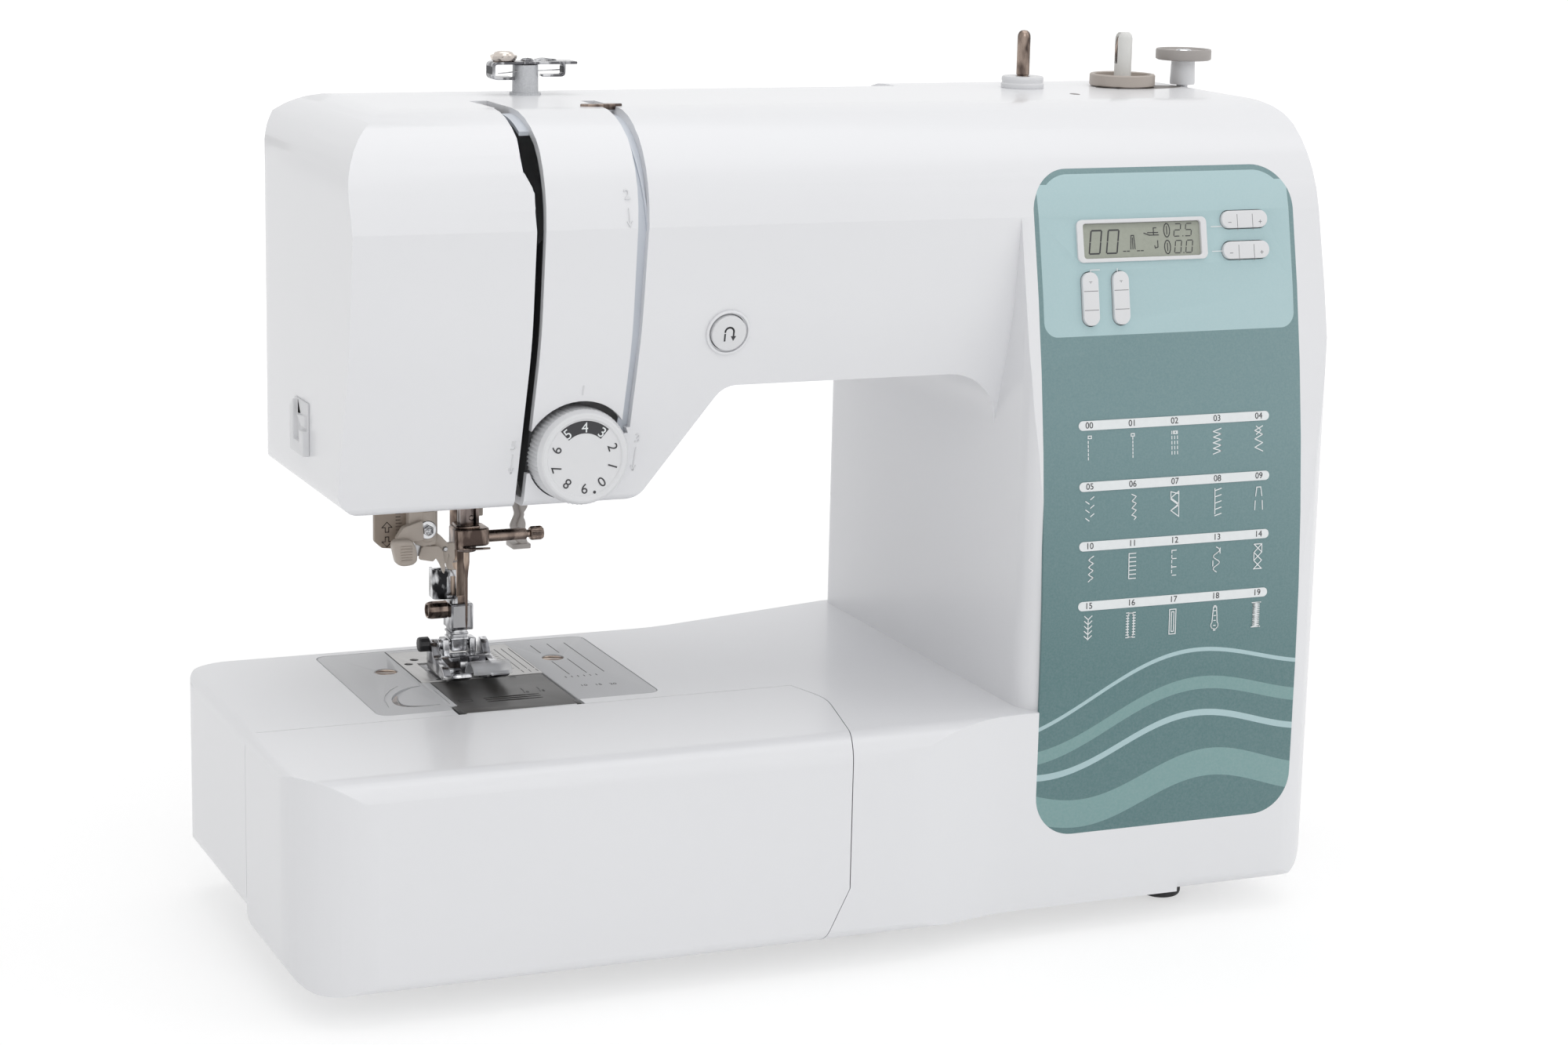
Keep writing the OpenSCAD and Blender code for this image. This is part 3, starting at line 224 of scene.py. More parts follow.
def drawnOut(points, axis, low, high, filled):
    # a chain of points across the axis, or the outline they close, drawn out from low to high
    mesh = bpy.data.meshes.new("form")
    count = len(points)
    edges = [] if filled else [(i, i + 1) for i in range(count - 1)]
    mesh.from_pydata([onPlane(axis, low, *point) for point in points], edges,
        [range(count)] if filled else [])
    piece = newPiece("form", mesh)
    editMesh(piece)
    bpy.ops.mesh.extrude_region_move(TRANSFORM_OT_translate={"value": onPlane(axis, high - low, 0, 0)})
    leaveEdit()
    return closeUp(piece)


def cutForm(points, axis, low, high, edge=0.2, segments=2, smooth=35):
    piece = drawnOut(points, axis, low, high, True)
    return soften(piece, edge * mm, segments, 30, smooth) if edge else finishMesh(piece, smooth)


def polar(x, y, radius, degrees, squash=1.0):
    turn = math.radians(degrees)
    return x + radius * math.cos(turn), y + radius * squash * math.sin(turn)


def arc(x, y, radius, start, end, steps=10, squash=1.0):
    return [polar(x, y, radius, start + (end - start) * step / steps, squash) for step in range(steps + 1)]


def eased(points, radius, steps=4, closed=False):
    # the same chain of points with its inner corners rounded
    chain = [Vector(point) for point in points]
    count, result = len(chain), []
    for i, corner in enumerate(chain):
        if not closed and i in (0, count - 1):
            result.append(corner)
            continue
        before, after = chain[i - 1] - corner, chain[(i + 1) % count] - corner
        start = corner + before.normalized() * min(radius, before.length * 0.45)
        end = corner + after.normalized() * min(radius, after.length * 0.45)
        for step in range(steps + 1):
            t = step / steps
            result.append(start * (1 - t) ** 2 + corner * 2 * t * (1 - t) + end * t ** 2)
    return result


def roundedForm(points, radius, axis, low, high, edge, segments=2, smooth=35):
    # a cut form whose outline has rounded corners
    return cutForm(eased(points, radius, 4, closed=True), axis, low, high, edge, segments, smooth)


def bentStrip(points, axis, low, high, thickness, edge):
    # a chain of points drawn out along the axis into a bent sheet
    piece = drawnOut(points, axis, low, high, False)
    modify(piece, "SOLIDIFY", thickness=thickness * mm, offset=0)
    return soften(piece, edge * mm, 2, 40, 40)


def wireForm(points, radius):
    # a round wire through the points
    curve = bpy.data.curves.new("wire", "CURVE")
    curve.dimensions, curve.use_fill_caps = "3D", True
    curve.bevel_depth, curve.bevel_resolution = radius * mm, 3
    spline = curve.splines.new("POLY")
    spline.points.add(len(points) - 1)
    for knot, point in zip(spline.points, points):
        knot.co = (*(Vector(point) * mm), 1)
    pick(newPiece("wire", curve))
    bpy.ops.object.convert(target="MESH")
    return finishMesh(closeUp(bpy.context.object), 50)


def ribRing(piece, centre, axis, least, depth):
    # every second vertex further out than a radius goes in, which makes fine ribs
    across = {"X": (1, 2), "Y": (0, 2), "Z": (0, 1)}[axis]
    centre = Vector(centre) * mm
    rim = [vertex for vertex in piece.data.vertices
           if math.hypot(*[vertex.co[k] - centre[k] for k in across]) > least * mm]
    angles = [math.atan2(*[vertex.co[k] - centre[k] for k in across]) for vertex in rim]
    steps = len(set(round(angle, 4) for angle in angles))
    for vertex, angle in zip(rim, angles):
        if round((angle + math.pi) / (2 * math.pi) * steps) % 2:
            for k in across:
                vertex.co[k] = centre[k] + (vertex.co[k] - centre[k]) * (1 - depth / least)
    return piece


def dress(material, *names):
    # a new finish on CAD nodes that keep their shape
    for name in names:
        for spot in nodes[name].material_slots:
            spot.material = material


def crossCuts(axis, a, b, low, high, reach, half):
    # cutters for a cross slot in the end of a screw
    return [block(onPlane(axis, low, a - u, b - v) / mm, onPlane(axis, high, a + u, b + v) / mm, 0.02, 1)
            for u, v in ((reach, half), (half, reach))]


def textForm(words, at, size, thickness, turn=(0, 0, 0)):
    deselectAll()
    bpy.ops.object.text_add(location=Vector(at) * mm, rotation=turn)
    letters = bpy.context.object.data
    letters.body, letters.size, letters.extrude = words, size * mm, thickness * mm
    letters.align_x, letters.align_y = "CENTER", "CENTER"
    bpy.ops.object.convert(target="MESH")
    return settle(bpy.context.object)


def drawText(words, x, z, size, thickness=0.05, turn=0):
    return textForm(words, (x, 0, z), size, thickness, (math.pi / 2, turn, 0))


def drawLines(lines, width, thickness=0.05):
    # every line is a chain of points in X and Z, drawn with square ends
    corners, faces = [], []
    for line in lines:
        for start, end in zip(line, line[1:]):
            along = Vector(end) - Vector(start)
            side = Vector((-along.y, along.x)).normalized() * width / 2
            reach = along.normalized() * width / 2
            first = len(corners)
            for point, sign, out in ((start, 1, -1), (end, 1, 1), (end, -1, 1), (start, -1, -1)):
                flat = (Vector(point) + side * sign + reach * out) * mm
                corners.append((flat.x, 0, flat.y))
            faces.append((first, first + 1, first + 2, first + 3))
    mesh = bpy.data.meshes.new("lines")
    mesh.from_pydata(corners, [], faces)
    return modify(newPiece("lines", mesh), "SOLIDIFY", thickness=thickness * mm, offset=0)


# helpers for materials

class Wire:
    # a socket, so that shader maths reads as plain expressions
    def __init__(self, tree, socket):
        self.tree, self.socket = tree, socket

    def calc(self, operation, *others, flip=False, clamp=False):
        node = self.tree.nodes.new("ShaderNodeMath")
        node.operation, node.use_clamp = operation, clamp
        values = [self, *others]
        if flip:
            values.reverse()
        for slot, value in zip(node.inputs, values):
            feed(self.tree, slot, value)
        return Wire(self.tree, node.outputs[0])

    def __add__(self, other): return self.calc("ADD", other)
    def __sub__(self, other): return self.calc("SUBTRACT", other)
    def __rsub__(self, other): return self.calc("SUBTRACT", other, flip=True)
    def __mul__(self, other): return self.calc("MULTIPLY", other)
    def __truediv__(self, other): return self.calc("DIVIDE", other)
    def __pow__(self, other): return self.calc("POWER", other)
    def __gt__(self, other): return self.calc("GREATER_THAN", other)
    def __lt__(self, other): return self.calc("LESS_THAN", other)
    def __abs__(self): return self.calc("ABSOLUTE")

    __radd__ = __add__
    __rmul__ = __mul__

    def clamped(self): return self.calc("MULTIPLY", 1.0, clamp=True)


def feed(tree, slot, value):
    if isinstance(value, Wire):
        tree.links.new(value.socket, slot)
    else:
        slot.default_value = value


class Finish:
    def __init__(self, name, colour, roughness, metallic=0.0, **fixed):
        self.material = bpy.data.materials.new(name)
        self.material.use_nodes = True
        self.tree = self.material.node_tree
        self.shader = self.tree.nodes["Principled BSDF"]
        self.colour = (*colour, 1)
        self.material.diffuse_color = self.colour
        self.set("Base Color", self.colour)
        self.set("Roughness", roughness)
        self.set("Metallic", metallic)
        for key, value in fixed.items():
            self.set(key.replace("_", " "), value)
        self.place = self.node("ShaderNodeTexCoord", output="Object")

    def node(self, kind, settings=None, sockets=None, output=0):
        node = self.tree.nodes.new(kind)
        for key, value in (settings or {}).items():
            setattr(node, key, value)
        for key, value in (sockets or {}).items():
            feed(self.tree, node.inputs[key], value)
        return Wire(self.tree, node.outputs[output])

    def set(self, socket, value):
        feed(self.tree, self.shader.inputs[socket], value)
        return self

    def look(self, colour, roughness):
        return self.set("Base Color", colour).set("Roughness", roughness)

    def axes(self):
        # the place across and the height, in metres
        split = self.tree.nodes.new("ShaderNodeSeparateXYZ")
        feed(self.tree, split.inputs[0], self.place)
        return Wire(self.tree, split.outputs["X"]), Wire(self.tree, split.outputs["Z"])

    def moved(self, scale, location=(0, 0, 0)):
        return self.node("ShaderNodeMapping", None, {"Vector": self.place, "Scale": scale,
            "Location": location})

    def noise(self, scale, detail=3, place=None):
        return self.node("ShaderNodeTexNoise", None, {"Vector": place or self.place, "Scale": scale,
            "Detail": detail})

    def mix(self, factor, first, second):
        node = self.tree.nodes.new("ShaderNodeMix")
        node.data_type = "RGBA"
        feed(self.tree, node.inputs[0], factor)
        feed(self.tree, node.inputs[6], first if isinstance(first, Wire) else (*first, 1))
        feed(self.tree, node.inputs[7], second if isinstance(second, Wire) else (*second, 1))
        return Wire(self.tree, node.outputs[2])

    def bump(self, height, distance):
        return self.set("Normal", self.node("ShaderNodeBump", None,
            {"Height": height, "Distance": distance, "Strength": 1.0}))


def shade(colour, factor):
    return tuple(min(1, part * factor) for part in colour)


def mouldedPlastic(name, colour, roughness, grain=0.00002, coat=0.0):
    # moulded plastic: faint colour drift, uneven gloss and a fine skin
    finish = Finish(name, colour, roughness, Coat_Roughness=0.12, IOR=1.48)
    drift = finish.noise(14, 2)
    finish.look(finish.mix(drift, shade(colour, 0.985), shade(colour, 1.012)),
        drift * 0.08 + (roughness - 0.04))
    finish.set("Coat Weight", coat)
    return finish.bump(finish.noise(2200, 2) * 0.5 + finish.noise(260, 1) * 0.5, grain).material


def brushedMetal(name, colour, roughness, stretch=(1, 1, 40), depth=0.000012):
    # drawn or ground metal with fine lines across the stretched axis
    finish = Finish(name, colour, roughness, 1.0)
    lines = finish.noise(900, 3, finish.moved(stretch))
    cloud = finish.noise(90, 3)
    finish.look(finish.mix(cloud, shade(colour, 0.86), shade(colour, 1.08)),
        cloud * 0.16 + lines * 0.1 + (roughness - 0.12))
    return finish.bump(lines, depth).material


def platedMetal(name, colour, roughness):
    # polished plating: nearly even, with faint swirls and small dull spots
    finish = Finish(name, colour, roughness, 1.0)
    cloud = finish.noise(160, 4)
    finish.look(finish.mix(cloud, shade(colour, 0.9), shade(colour, 1.05)),
        cloud ** 2 * 0.22 + (roughness - 0.04))
    return finish.bump(finish.noise(500, 2), 0.000008).material


def printInk(name, colour, roughness=0.45):
    finish = Finish(name, colour, roughness)
    drift = finish.noise(600, 2)
    return finish.look(finish.mix(drift, shade(colour, 0.95), shade(colour, 1.03)),
        drift * 0.1 + (roughness - 0.05)).material


def mirrorChrome(name, bright, dark, roughness, scale=210):
    # chrome with painted reflections: dark and light patches painted into its colour, in place of the
    # surroundings a small polished part mirrors
    finish = Finish(name, bright, roughness, 1.0)
    reflectionPatch = finish.noise(scale, 1, finish.moved((1, 1, 0.7)))
    reflectionStreak = finish.noise(scale * 2.4, 2, finish.moved((1.6, 1, 0.5), (0.03, 0.01, 0)))
    share, darkest, spread = 0.7, 0.44, 0.11
    # the painted reflection: a mask that mixes the dark and the bright colour
    factor = ((reflectionPatch * share + reflectionStreak * (1 - share) - darkest) / spread).clamped()
    finish.look(finish.mix(factor, dark, bright), reflectionStreak * 0.1 + roughness - 0.04)
    return finish.bump(finish.noise(500, 2), 0.000008).material


def speckled(name, colour, metallic, grain, dark, light, gloss):
    # an even coat with a fine speckle, such as enamel or a die-cast skin
    finish = Finish(name, colour, gloss, metallic)
    speck = finish.noise(*grain)
    return finish.look(finish.mix(speck, dark, light), speck * 0.2 + gloss).bump(speck, 0.00003).material


teal = {"dark": (0.070, 0.172, 0.180), "middle": (0.140, 0.252, 0.266), "light": (0.40, 0.565, 0.59)}
housingWhite = mouldedPlastic("housingWhite", (0.80, 0.805, 0.825), 0.33, coat=0.25)
trimWhite = mouldedPlastic("trimWhite", (0.74, 0.745, 0.76), 0.38)
plateGrey = mouldedPlastic("plateGrey", (0.60, 0.605, 0.62), 0.45, grain=0.00004)
beigePlastic = mouldedPlastic("beigePlastic", (0.50, 0.44, 0.385), 0.42)
darkBeigePlastic = mouldedPlastic("darkBeigePlastic", (0.33, 0.27, 0.22), 0.45)
blackPlastic = mouldedPlastic("blackPlastic", (0.018, 0.018, 0.02), 0.42)
rubberBlack = mouldedPlastic("rubberBlack", (0.05, 0.05, 0.052), 0.75, grain=0.00008)
steelBrushed = brushedMetal("steelBrushed", (0.52, 0.52, 0.53), 0.34)
steelPlate = brushedMetal("steelPlate", (0.46, 0.455, 0.45), 0.36, stretch=(1, 40, 1))
castAlloy = brushedMetal("castAlloy", (0.42, 0.43, 0.44), 0.55, stretch=(1, 1, 1), depth=0.00005)
# in each chrome below, the second colour is the dark of its painted reflections
brightChrome = mirrorChrome("brightChrome", (0.66, 0.665, 0.68), (0.15, 0.15, 0.16), 0.18, 150)
bronzeTan = mirrorChrome("bronzeTan", (0.47, 0.37, 0.30), (0.16, 0.12, 0.10), 0.3, 110)
bronzePlate = mirrorChrome("bronzePlate", (0.33, 0.26, 0.22), (0.075, 0.055, 0.048), 0.26, 130)
darkSteel = mirrorChrome("darkSteel", (0.24, 0.20, 0.185), (0.045, 0.036, 0.033), 0.28, 150)
bushBronze = brushedMetal("bushBronze", (0.52, 0.33, 0.16), 0.42)
inkDark = printInk("inkDark", (0.035, 0.035, 0.04))
inkWhite = printInk("inkWhite", (0.80, 0.83, 0.84))
# the grey of printed signs, also used for the painted shade on the keys
inkAndShadeGrey = printInk("inkAndShadeGrey", (0.22, 0.22, 0.23))
print("finishes mixed")


# housing

def onBoxCorner(x, y, z):
    # around the box's front left upright edge and the round above it
    return z > 69 and x < -182 and y < -66 and math.hypot(x + 183, y + 67) > 19.8


def onPillarEdge(x, y, z):
    # the pillar's left front edge, between bed and crown
    return 50 < x < 60 and y < -60 and 90 < z < 262


# width, segments and range of angles of a piece's extra round, and where it is
ridges = {"accessory_box": (1.5, 4, 22, 88, onBoxCorner), "front_cover": (2.6, 4, 35, 100, onPillarEdge)}


def housingPiece(node, name, body, edge, angle=32, smooth=40):
    piece = placedCopy(node)
    if node in ridges:
        roundRidge(piece, *ridges[node])
    soften(piece, edge * mm, 3, angle, smooth)
    mount(name, evenShading(piece, smooth), body, housingWhite, "white_shell", node)


housingPiece("front_cover", "frontHalf", "machine", 1.0)
housingPiece("rear_cover", "rearHalf", "machine", 1.0)
housingPiece("base_tray", "baseTray", "machine", 0.5)
housingPiece("accessory_box", "storageBox", "box", 0.55)
print("housing done")


# control panel

face = {"front": -81, "start": 88, "radius": 680}
panelLow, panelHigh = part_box("control_panel")
panel = {"border": 201.4 * mm, "rim": 1.7 * mm, "corner": 14 * mm, "innerCorner": 5 * mm,
    "fadeStart": 100 * mm, "fadeLength": 85 * mm, "fadeLean": 0.12, "grain": 0.12,
    "grainColour": (0.8, 0.82, 0.82)}


def faceY(z):
    rise = max(0, z - face["start"])
    return face["front"] + face["radius"] - math.sqrt(face["radius"] ** 2 - rise ** 2)


def layOnFace(piece, lift):
    # lays a flat piece, drawn in X and Z, on the bulging front of the pillar
    for vertex in piece.data.vertices:
        vertex.co.y += (faceY(vertex.co.z / mm) - lift) * mm
    return piece


def roundedBar(x, z, width, height, thickness=0.1):
    # a flat bar with round ends
    deselectAll()
    bpy.ops.mesh.primitive_plane_add(size=1, location=(x * mm, 0, z * mm), rotation=(math.pi / 2, 0, 0))
    bar = bpy.context.object
    bar.scale = (width * mm, height * mm, 1)
    editMesh(settle(bar))
    bpy.ops.mesh.bevel(offset=height * 0.49 * mm, segments=6, affect="VERTICES")
    bpy.ops.mesh.extrude_region_move(TRANSFORM_OT_translate={"value": (0, thickness * mm, 0)})
    bpy.ops.mesh.select_all(action="SELECT")
    bpy.ops.mesh.normals_make_consistent(inside=False)
    leaveEdit()
    return bar


def panelFinish():
    # two printed teals with a fine dark rim, and bands of waves along the bottom
    finish = Finish("panelPrint", teal["dark"], 0.42, Coat_Roughness=0.2)
    x, z = finish.axes()
    middle = (panelLow[0] + panelHigh[0]) / 2
    halfWide = (panelHigh[0] - panelLow[0]) / 2 - panel["rim"]
    inner = panel["innerCorner"] + (panel["corner"] - panel["innerCorner"] - panel["rim"]) * (z > 0.25)
    top, bottom = panelHigh[2] - panel["rim"], panel["border"]
    high, halfHigh = (top + bottom) / 2, (top - bottom) / 2
    acrossX = (abs(x - middle) - halfWide + inner).calc("MAXIMUM", 0.0)
    acrossZ = (abs(z - high) - halfHigh + inner).calc("MAXIMUM", 0.0)
    edge = (acrossX ** 2 + acrossZ ** 2).calc("SQRT")
    light = edge < inner
    grain = finish.noise(1500, 2)
    fade = (z + x * panel["fadeLean"] - panel["fadeStart"]) / panel["fadeLength"]
    dark = finish.mix(fade.clamped(), teal["dark"], teal["middle"])
    for wave in waves:
        rise = (x * wave["turns"] + wave["shift"]).calc("SINE") * wave["height"]
        inside = abs(z - (rise + wave["z"] + x * wave["slope"])) < wave["half"]
        dark = finish.mix(inside * wave["strength"], dark, wave["colour"])
    colour = finish.mix(light, dark, teal["light"])
    finish.look(finish.mix(grain * panel["grain"], colour, panel["grainColour"]), grain * 0.1 + 0.36)
    return finish.bump(grain, 0.000012).material


waves = [
    {"z": 0.044, "height": 0.0055, "turns": 68, "shift": 0.3, "slope": 0.05, "half": 0.0048, "strength": 0.75,
     "colour": (0.22, 0.39, 0.385)},
    {"z": 0.057, "height": 0.0062, "turns": 61, "shift": 1.5, "slope": 0.09, "half": 0.0011, "strength": 1.0,
     "colour": teal["light"]},
    {"z": 0.0635, "height": 0.0070, "turns": 55, "shift": 2.2, "slope": 0.12, "half": 0.0022, "strength": 0.6,
     "colour": (0.24, 0.42, 0.41)},
    {"z": 0.0715, "height": 0.0078, "turns": 50, "shift": 2.9, "slope": 0.15, "half": 0.0007, "strength": 1.0,
     "colour": teal["light"]}]
carry("panelSkin", "control_panel", "machine", panelFinish(), "teal_panel", 0.25, 2, 40, 30)

chart = {"bars": [172.5, 152.5, 132.8, 112.8], "columns": [64.4, 80.4, 96.3, 112.5, 128.5], "barX": 96.5,
    "barWide": 72, "barHigh": 3.1, "digit": 2.9, "below": 7.6, "stroke": 0.32, "barLift": 0.16,
    "numberLift": 0.18, "markLift": 0.07}


def stitchMarks(number, x, z):
    # one small stitch drawing, about 4.4 mm wide and 9 mm high, as chains of points
    w, h = 1.5, 4.2

    def at(*points):
        return [(x + px * w, z + pz * h) for px, pz in points]

    def dashes(px, count, top=1.0):
        step = (top + 1) / (2 * count)
        return [at((px, top - 2 * step * i), (px, top - 2 * step * i - step)) for i in range(count)]

    def zigzag(count, left=-1.0, right=1.0):
        return at(*[(left if i % 2 else right, 1 - 2 * i / count) for i in range(count + 1)])

    def ticks(count, left, right, drop=0.0):
        return [at((left, 1 - 2 * i / count - drop), (right, 1 - 2 * i / count)) for i in range(count + 1)]

    loop = at((-0.3, 1.0), (0.5, 1.0), (0.5, 0.8), (-0.3, 0.8), (-0.3, 1.0))
    wave = at(*[(0.8 * math.sin(i * 0.7), 1 - i / 9) for i in range(19)])
    marks = {
        0: [loop] + dashes(-0.3, 5, 0.6),
        1: [loop] + dashes(0.1, 6, 0.7),
        2: dashes(-0.7, 5) + dashes(0, 5) + dashes(0.7, 5) + [loop],
        3: [zigzag(9)],
        4: [zigzag(6, -1, 1), at((-0.6, 1.0), (0.6, 0.68), (-0.6, 0.36))],
        5: [at(*pair) for pair in zip([(-1 if i % 2 else 1, 1 - i / 3) for i in range(6)],
                                      [(-0.2 if i % 2 else 0.2, 0.8 - i / 3) for i in range(6)])],
        6: [at(*[(0.9 if i % 3 == 1 else -0.2 + 0.3 * (i % 3), 1 - i / 5.5) for i in range(12)])],
        7: [zigzag(4), at((-1, 0.5), (-1, 1), (1, 0.8)), at((-1, -0.5), (1, -0.1), (-1, 0.4)),
            at((1, 1), (1, -1))],
        8: [at((-0.6, 1), (-0.6, -1))] + ticks(4, -0.6, 1.0, 0.16),
        9: [at((-1.0, -0.9), (-0.9, -0.2)), at((-0.8, 0.2), (-0.5, 0.9)), at((-0.5, 0.9), (0.5, 0.9)),
            at((0.5, 0.9), (0.8, 0.2)), at((0.9, -0.2), (1.0, -0.9))],
        10: [at(*[((0.3 if i % 2 else 1) - 1.2 * (i % 4 == 2), 1 - i / 7) for i in range(15)])],
        11: [at((-0.8, 1), (-0.8, -1))] + ticks(6, -0.8, 0.9),
        12: dashes(-0.6, 5) + ticks(3, -0.4, 0.5),
        13: [wave, at((0.9, 0.9), (0.9, 0.5)), at((-0.9, -0.1), (-0.9, -0.5))],
        14: [at((-1, 1), (1, 0.33), (-1, -0.33), (1, -1)), at((1, 1), (-1, 0.33), (1, -0.33), (-1, -1)),
             at((-1, 1), (1, 1)), at((-1, -1), (1, -1)), at((1, 1), (1, 0.33)), at((-1, 0.33), (-1, -0.33))],
        15: [at((-0.9, top), (0, top - 0.28), (0.9, top)) for top in (1, 0.6, 0.2, -0.2, -0.6)] +
            [at((0, 0.7), (0, -0.9))],
        16: [arc(x, z + 3, 1.1, 0, 180) + arc(x, z - 3, 1.1, 180, 360) + [(x + 1.1, z + 3)]] +
            ticks(9, -1.1, -0.5) + ticks(9, 0.5, 1.1),
        17: [at((-0.8, 1), (0.8, 1), (0.8, -1), (-0.8, -1), (-0.8, 1)),
             at((-0.3, 0.8), (0.3, 0.8), (0.3, -0.8), (-0.3, -0.8), (-0.3, 0.8))],
        18: [arc(x, z - 2.4, 1.4, 135, 405) + [(x + 0.6, z + 3.8), (x - 0.6, z + 3.8), (x - 1.0, z - 1.4)]] +
            ticks(5, -0.2, 0.2),
        19: [zigzag(26, -0.8, 0.8), at((-1.1, 1), (1.1, 1)), at((-1.1, -1), (1.1, -1))]}
    return marks[number]


def makeChart():
    bars, numbers, lines = [], [], []
    for row, level in enumerate(chart["bars"]):
        bars.append(roundedBar(chart["barX"], level, chart["barWide"], chart["barHigh"]))
        for column, across in enumerate(chart["columns"]):
            number = row * 5 + column
            numbers.append(drawText("%02d" % number, across, level, chart["digit"]))
            lines += stitchMarks(number, across, level - chart["below"])
    marks = drawLines(lines, chart["stroke"])
    layOnFace(mount("chartBars", bars, "machine", inkWhite, "teal_panel"), chart["barLift"])
    layOnFace(mount("chartNumbers", numbers, "machine", inkDark, "teal_panel"), chart["numberLift"])
    layOnFace(mount("chartStitches", marks, "machine", inkWhite, "teal_panel"), chart["markLift"])


makeChart()
leaders = [[(113, 235.2), (117, 235.2)], [(113, 227.2), (117, 227.2)],
    [(66.9, 221.2), (66.9, 222.6), (70.2, 222.6)], [(76.8, 221.2), (76.8, 222.8)]]
mount("leaderLines", layOnFace(drawLines(leaders, 0.3), 0.08), "machine", inkWhite, "teal_panel")
print("panel printed")


# display and rocker keys

display = {"x": 86.7, "z": 231.8, "lift": -0.23, "gap": 0.336, "lean": 0.16, "big": (3.9, 7.4),
    "small": (2.3, 4.0), "bigLine": 0.46, "fineLine": 0.28, "thickness": 0.04, "shadowStart": 3.6,
    "shadowLength": 2.4}
segments = {"0": "abcdef", "2": "abged", "5": "afgcd"}


def lcdDigit(digit, x, z, wide, high):
    # a slanted seven-segment figure as chains of points
    w, h = wide / 2, high / 2
    ends = {"a": ((-w, h), (w, h)), "b": ((w, h), (w, 0)), "c": ((w, 0), (w, -h)), "d": ((-w, -h), (w, -h)),
            "e": ((-w, 0), (-w, -h)), "f": ((-w, h), (-w, 0)), "g": ((-w, 0), (w, 0))}
    chains = []
    for segment in segments[digit]:
        start, end = Vector(ends[segment][0]), Vector(ends[segment][1])
        inset = (end - start).normalized() * display["gap"]
        chains.append([(x + p.x + p.y * display["lean"], z + p.y) for p in (start + inset, end - inset)])
    return chains


def makeDisplay():
    x, z = display["x"], display["z"]

    def at(*points):
        return [(x + px, z + pz) for px, pz in points]

    big = [chain for i in (0, 1) for chain in lcdDigit("0", x - 17.2 + 6.4 * i, z - 0.4, *display["big"])]
    signs = []
    for row, digits in ((2.7, "25"), (-2.7, "00")):
        for i, digit in enumerate(digits):
            signs += lcdDigit(digit, x + 13.6 + 4.2 * i, z + row, *display["small"])
        signs += [at((15.6, row - 2), (15.6, row - 1.95)), arc(x + 9.6, z + row, 1.1, 0, 360, 14, 2.0),
                  at((9.6, row - 1.2), (9.6, row + 1.2))]
    # the needle with its dashes, then the presser foot
    signs += [at((-3.4, 0.6), (-3.4, -2.9)), at((-4.2, -2.9), (-3.9, 1.4), (-2.9, 1.4), (-2.6, -2.9))]
    signs += [at((side, -3.6), (side + 0.8, -3.6)) for side in (-7, -5.6, -1.8, -0.4)]
    signs += [at((1.0, 2.0), (3.0, 1.3), (6.4, 1.3)), at((4.6, 1.3), (4.6, 3.6), (5.6, 3.6)),
              at((2.4, 2.1), (6.2, 2.1)), at((6.0, -0.6), (6.0, -2.6), (5.0, -2.9), (4.8, -2.2))]
    thickness = display["thickness"]
    figures = [drawLines(big, display["bigLine"], thickness), drawLines(signs, display["fineLine"],
        thickness)]
    layOnFace(mount("displayFigures", figures, "machine", inkDark, "display_face"), display["lift"])


def displayFinish():
    # grey-green liquid crystal with a shadow under the frame's top edge
    finish = Finish("displayGlass", (0.36, 0.38, 0.32), 0.18)
    z = finish.axes()[1]
    grain = finish.noise(900, 2)
    under = ((z - (display["z"] + display["shadowStart"]) * mm) / (display["shadowLength"] * mm)).clamped()
    crystal = finish.mix(grain, (0.33, 0.35, 0.295), (0.38, 0.40, 0.34))
    return finish.look(finish.mix(under * 0.5, crystal, (0.15, 0.16, 0.14)), grain * 0.06 + 0.14).material


carry("displayFrame", "lcd_bezel", "machine", trimWhite, "white_shell", 0.35)
carry("displayGlass", "lcd", "machine", displayFinish(), "display_face", 0.12, 1, 40, 40)
makeDisplay()

rocker = {"edge": 0.5, "line": 0.22, "reach": 2.5, "sign": 0.5, "grooveLift": 1.11, "signLift": 1.12}


def makeKey(node, body, name, upright):
    # a rocker with a plus on one end and a minus on the other; each of two fine grey lines across it paints
    # the shade of a groove
    carry(name, node, body, trimWhite, "white_shell", rocker["edge"])
    low, high = (Vector(corner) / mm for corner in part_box(node))
    middle, length = (low + high) / 2, high.z - low.z if upright else high.x - low.x

    def spot(along, off):
        return (middle.x + off, middle.z + along) if upright else (middle.x + along, middle.z + off)

    # painted shade: a grey line across the rocker for the shade of each groove
    grooveShadeLines = [[spot(side * length / 6, off * rocker["reach"]) for off in (-1, 1)] for side in (-1, 1)]
    half, (plusX, plusZ), (minusX, minusZ) = rocker["sign"], spot(length / 3, 0), spot(-length / 3, 0)
    signs = [[(plusX - half, plusZ), (plusX + half, plusZ)], [(plusX, plusZ - half), (plusX, plusZ + half)],
             [(minusX - half, minusZ), (minusX + half, minusZ)]]
    for part, lines in (("groove", grooveShadeLines), ("sign", signs)):
        marks = layOnFace(drawLines(lines, rocker["line"]), rocker[part + "Lift"])
        mount(name + part.capitalize() + "s", marks, body, inkAndShadeGrey, "white_shell")


for node, body, upright in (("length_key", "length", False), ("width_key", "width", False),
        ("tens_key", "tens", True), ("units_key", "units", True)):
    makeKey(node, body, body + "Key", upright)
print("keys done")


# arm: thread channels, threading numbers, reverse button, tension dial

arm = {"chin": (-43, 150), "lean": (-60, 205), "crease": (-63.8, 240), "crown": (-21.8, 231), "bend": 43,
       "heights": (165, 185, 204, 206, 222, 239), "inside": (20, 200)}


